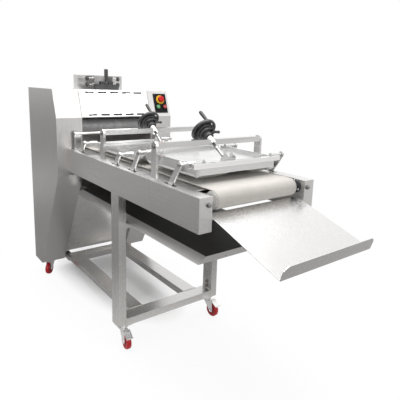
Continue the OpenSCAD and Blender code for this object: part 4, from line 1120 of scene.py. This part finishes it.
@dataclass
class Boards:
    """Pressure boards, arms, bridges and their screws."""

    arm_out: float = 0.291  # outer face of the arms across the machine
    cap_out: float = 0.0012  # distance of the pin caps from that face
    post_out: float = 0.304  # outer face of the bridge posts across the machine
    bolt_z: float = 1.092  # height of the bolts in the rounded post tops
    rim_x: float = 0.5887  # outer face of the front board's rim along the machine
    rim_top: float = 1.0418  # top of that rim
    rim_h: float = 0.0205  # height of that rim
    rim_fold: float = 0.016  # width of its upper fold
    rim_lip: float = 2.5  # width of its lower fold, in thicknesses of its sheet
    rim_half: float = 0.2432  # half of its length
    rim_t: float = 0.0014  # thickness of its sheet

    def build(self) -> None:
        """Dresses the boards and their screws, and adds pin caps, bolts and the rim."""
        dress(["board_rear", "board_front"], BRIGHT, THICK_EDGE)
        dress(["bridge_rear", "bridge_front"], BAR)
        dress(["arm_rear_a", "arm_rear_b", "arm_front_a", "arm_front_b"], ARM)
        dress(["screw_tube_rear", "screw_tube_front"], TURNED, FINE_EDGE)
        dress(["screw_housings"], BLACK, FINE_EDGE)
        for end in ("rear", "front"):
            dress(["handwheel_" + end, "crank_" + end, "lock_" + end], BLACK, FINE_EDGE)
            self._caps(end)
        self._post_bolts()
        self._rim()

    def _rim(self) -> None:
        """Adds the polished folded strip along the outlet edge of the front board."""
        x0, x1 = self.rim_x - self.rim_fold, self.rim_x
        z0, z1 = self.rim_top - self.rim_h, self.rim_top
        t = self.rim_t
        lip = x1 - self.rim_lip * t
        section = [(x0, z1 - t), (x1 - t, z1 - t), (x1 - t, z0 + t), (lip, z0 + t),
                   (lip, z0), (x1, z0), (x1, z1), (x0, z1)]
        n = len(section)
        verts = [(x, y, z) for y in (-self.rim_half, self.rim_half) for x, z in section]
        faces = [(i, (i + 1) % n, n + (i + 1) % n, n + i) for i in range(n)]
        faces += [tuple(range(n)), tuple(range(n, 2 * n))]
        solid("board_rim", "board_front", RIM, verts, faces)

    def _caps(self, end: str) -> None:
        """Adds the caps on the upper arm pins of one board.

        Args:
            end: Which board, rear or front.
        """
        low = Vector(JOINTS["arm_%s_a_swing" % end]["pos_m"])
        top = Vector(JOINTS["board_%s_level" % end]["pos_m"])
        for arm in (end + "_a", end + "_b"):
            pivot = Vector(JOINTS["arm_%s_swing" % arm]["pos_m"]) + top - low
            spot = (pivot.x, self.arm_out + self.cap_out, pivot.z)
            PIN_CAP.place("pin_caps_" + arm, "arm_" + arm, both([(spot, (0.0, 1.0, 0.0))]))

    def _post_bolts(self) -> None:
        """Adds the bolts that hold the bars to their posts."""
        places = [JOINTS["handwheel_%s_turn" % end]["pos_m"][0] for end in ("rear", "front")]
        spots = [((x, self.post_out, self.bolt_z), (0.0, 1.0, 0.0)) for x in places]
        POST_BOLT.place("post_bolts", "frame", both(spots))


@dataclass
class Base:
    """Stand and casters."""

    leg_front: float = 0.086826  # front face of the legs
    leg_depth: float = 0.08
    leg_in: float = 0.2775  # inner face of the legs across the machine
    beam_low: float = 0.115  # underside of the bottom tubes
    beam_high: float = 0.155  # top of the bottom tubes
    long_out: float = 0.218  # outer face of the long tubes across the machine
    long_w: float = 0.08  # width of the long tubes
    weld_lift: float = 0.002  # distance of the upright welds from the underside
    nut_out: float = 0.0176  # distance of the axle nuts from the middle of the wheel

    def build(self) -> None:
        """Dresses the stand and casters, and adds axle nuts and welds."""
        dress(["stand"], TUBE)
        for where in ("near_front", "far_front", "near_rear", "far_rear"):
            self._caster(where)
        dress(["pedal_near", "pedal_far"], FORK, FINE_EDGE)
        self._welds()

    def _caster(self, where: str) -> None:
        """Dresses one caster and adds the nuts on its axle.

        Args:
            where: Which caster.
        """
        dress(["fork_" + where], FORK, FINE_EDGE)
        axle = tuple(JOINTS["roll_" + where]["axis"])
        centre = tuple((a + b) / 2 for a, b in zip(*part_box("wheel_" + where)))
        tread = CasterTread("tread_" + where, centre=centre, axle=axle)
        dress(["wheel_" + where], tread, FINE_EDGE)
        spots = [(Vector(centre) + Vector(axle) * (self.nut_out * s), Vector(axle) * s)
                 for s in SIDES]
        AXLE_NUT.place("axle_nuts_" + where, "fork_" + where, spots)

    def _welds(self) -> None:
        """Adds the beads where the bottom tubes meet."""
        x1, x0, top = self.leg_front, self.leg_front - self.leg_depth, self.beam_high
        runs = []
        for s in SIDES:
            y, y1, y0 = (s * v for v in (self.leg_in, self.long_out, self.long_out - self.long_w))
            runs += [((x0, y, top), (x1, y, top)),
                     ((x1, y, self.beam_low + self.weld_lift), (x1, y, top)),
                     ((x0, y1, top), (x0, y0, top))]
        WeldBead().place("frame_welds", "frame", runs)


@dataclass(frozen=True)
class Softbox:
    """One area light."""

    name: str
    at: tuple
    aim: tuple  # point it faces
    size: tuple  # width and height
    power: float  # watts

    def build(self) -> None:
        """Adds the light to the scene."""
        data = bpy.data.lights.new(self.name, "AREA")
        data.shape = "RECTANGLE"
        data.size, data.size_y = self.size
        data.energy = self.power
        obj = make_object(self.name, data)
        obj.location = self.at
        way = Vector(self.aim) - Vector(self.at)
        obj.rotation_euler = way.to_track_quat("-Z", "Y").to_euler()


@dataclass(frozen=True)
class Patch:
    """Ellipse on the floor with a soft edge."""

    shift: tuple  # what is added to a floor point to bring the ellipse's middle to the origin
    scale: tuple  # scale that makes the ellipse round
    band: tuple  # scaled distances between which the level changes
    inside: float  # level within the band
    outside: float  # level beyond the band

    def level(self, graph: Graph, coords: Socket) -> Socket:
        """Gives the level at a floor point."""
        point = graph.vector("MULTIPLY", graph.vector("ADD", coords, self.shift), self.scale)
        return graph.remap(graph.length(point), self.band, self.inside, self.outside)


@dataclass(frozen=True)
class Floor:
    """Pale floor: white to the camera with soft shadows, graded grey in reflections."""

    half: float = 30.0  # half of its width
    # Patch beyond which the camera sees plain white
    white: Patch = Patch((0.82, -0.05, 0.0), (1.45, 3.6, 0.0), (0.7, 1.25), 0.0, 0.9)
    far: tuple = (0.8, 1.6)  # distances between which the last of the shadows fades
    far_white: float = 0.1  # how much whiter that makes the floor
    paint: float = 0.9  # level of the matt floor that the camera sees
    haze: float = 0.13  # light that is added to it
    bounce: float = 0.6  # level of the floor that lights matt surfaces
    # Pairs of the distance from the middle and the level in reflections
    greys: tuple = ((0.3, 0.62), (0.6, 0.45), (1.15, 0.2), (1.8, 0.25), (2.6, 0.28), (3.1, 0.40),
                    (4.3, 0.58), (5.1, 0.53), (6.4, 0.40), (8.0, 0.40))
    slant: tuple = (-6.0, 6.0)  # places along the diagonal between which reflections grow lighter
    slant_levels: tuple = (-0.08, 0.36)  # what is added to the reflected level at those places
    # Patch under the machine that is darker in reflections: painted shadow of the machine on the
    # reflected floor
    reflected_shadow: Patch = Patch((0.5, 0.0, 0.0), (1.5, 2.4, 0.0), (0.4, 1.1), 0.42, 1.0)
    tint: tuple = (1.0, 0.985, 0.97, 1.0)  # colour of the reflections

    def build(self) -> None:
        """Adds the floor to the stage."""
        h = self.half
        corners = [(-h, -h, 0), (h, -h, 0), (h, h, 0), (-h, h, 0)]
        mesh = make_mesh("floor", corners, faces=[(0, 1, 2, 3)])
        mat = bpy.data.materials.new("floor_white")
        mat.use_nodes = True
        graph = Graph(mat.node_tree)
        coords = graph.add("ShaderNodeTexCoord").outputs["Object"]
        path = graph.add("ShaderNodeLightPath").outputs
        other = graph.shaders(path["Is Glossy Ray"], graph.matt(self.bounce),
                              self._reflected(graph, coords))
        pick = graph.shaders(path["Is Camera Ray"], other, self._seen(graph, coords))
        graph.add("ShaderNodeOutputMaterial", Surface=pick)
        mesh.materials.append(mat)
        make_object("floor", mesh)

    def _seen(self, graph: Graph, coords: Socket) -> Socket:
        """Gives the floor that the camera sees.

        Args:
            graph: Node builder.
            coords: Floor coordinates.

        Returns:
            The shader socket.
        """
        fade = graph.plus(self.white.level(graph, coords),
                          graph.remap(graph.length(coords), self.far, 0.0, self.far_white))
        near = graph.out("ShaderNodeAddShader", i0=graph.matt(self.paint),
                         i1=graph.glow(self.haze))
        return graph.shaders(fade, near, graph.glow(1.0))

    def _reflected(self, graph: Graph, coords: Socket) -> Socket:
        """Gives the floor that shows in reflections.

        Args:
            graph: Node builder.
            coords: Floor coordinates.

        Returns:
            The shader socket.
        """
        x, y, _ = graph.axes(coords)
        slant = graph.remap(graph.plus(x, y), self.slant, *self.slant_levels)
        level = graph.plus(graph.ramp(graph.length(coords), self.greys), slant)
        # darker under the machine: painted shadow in the reflected floor
        return graph.glow(graph.times(level, self.reflected_shadow.level(graph, coords)), self.tint)


@dataclass(frozen=True)
class Sky:
    """World: white to the camera, graded in reflections and dim to matt surfaces."""

    along: float = -0.34  # change of the reflected horizon towards the outlet
    across: float = 0.52  # change of the reflected horizon towards the control side
    middle: float = 0.49  # mean level of the reflected horizon
    least: float = 0.3  # smallest level of the reflected horizon
    rise: tuple = (0.06, 0.3)  # heights between which the horizon turns into the upper sky
    upper: float = 1.2  # level of the reflected upper sky
    felt: float = 0.4  # level that lights matt surfaces

    def build(self) -> None:
        """Sets the world of the scene."""
        world = bpy.data.worlds.new("studio")
        bpy.context.scene.world = world
        world.use_nodes = True
        graph = Graph(world.node_tree)
        path = graph.add("ShaderNodeLightPath").outputs
        x, y, z = graph.axes(graph.add("ShaderNodeTexCoord").outputs["Generated"])
        change = graph.plus(graph.times(x, self.along), graph.times(y, self.across))
        low = graph.math("MAXIMUM", graph.plus(change, self.middle), self.least)
        high = graph.times(graph.remap(z, self.rise), graph.math("SUBTRACT", self.upper, low))
        extra = graph.math("SUBTRACT", graph.plus(low, high), self.felt)
        glossy = graph.times(path["Is Glossy Ray"], extra)
        felt, seen = (graph.out("ShaderNodeBackground", Color=WHITE_LIGHT, Strength=level)
                      for level in (graph.plus(glossy, self.felt), 1.0))
        pick = graph.shaders(path["Is Camera Ray"], felt, seen)
        graph.add("ShaderNodeOutputWorld", Surface=pick)


@dataclass(frozen=True)
class Camera:
    """Camera at the photograph's angle."""

    at: tuple = (1.88833, -1.2018, 1.3469)
    azimuth: float = 52.361  # side on which it stands, degrees from -Y towards +X
    elevation: float = 10.841  # angle at which it looks down, degrees
    roll: float = 1.819  # turn about its line of sight, degrees
    lens: float = 38.19  # focal length, millimetres
    sensor: float = 36.0  # width of the sensor, millimetres
    shift: tuple = (-0.0071, -0.0841)  # shift of the picture, in widths
    reach: float = 100.0  # distance up to which it sees

    def build(self) -> None:
        """Adds the camera to the scene."""
        data = bpy.data.cameras.new("camera")
        data.sensor_width = self.sensor
        data.lens = self.lens
        data.shift_x, data.shift_y = self.shift
        data.clip_end = self.reach
        obj = make_object("camera", data)
        az, el, roll = map(math.radians, (self.azimuth, self.elevation, self.roll))
        back = Vector((math.sin(az) * math.cos(el), -math.cos(az) * math.cos(el), math.sin(el)))
        right = (-back).cross(Vector((0, 0, 1))).normalized()
        up = right.cross(-back).normalized()
        cam_x = right * math.cos(roll) + up * math.sin(roll)
        cam_y = -right * math.sin(roll) + up * math.cos(roll)
        turn = Matrix((cam_x, cam_y, back)).transposed().to_4x4()
        obj.matrix_world = Matrix.Translation(Vector(self.at)) @ turn
        bpy.context.scene.camera = obj


@dataclass
class Studio:
    """Floor, world, lights and camera."""

    # What is set up, in order
    items: tuple = (
        Floor(), Sky(),
        Softbox("top", (0.0, -0.1, 4.2), (0.1, 0.0, 0.8), (4.2, 3.4), 190.0),
        Softbox("front", (4.4, 1.2, 2.6), (0.2, 0.0, 0.8), (2.4, 2.0), 45.0),
        Softbox("side", (0.4, -4.6, 2.3), (0.1, 0.0, 0.8), (3.4, 1.6), 40.0),
        Camera())

    def build(self) -> None:
        """Sets up the studio."""
        for item in self.items:
            item.build()
        bpy.context.scene.view_settings.view_transform = "Standard"


def main() -> None:
    """Builds the looks and the studio."""
    logging.basicConfig(level=logging.INFO, format="%(name)s: %(message)s")
    head = Head()
    for part in (head, Controls(head), Table(), Boards(), Base(), Studio()):
        part.build()
        LOG.info("built %s", type(part).__name__)


if __name__ == "__main__":
    main()
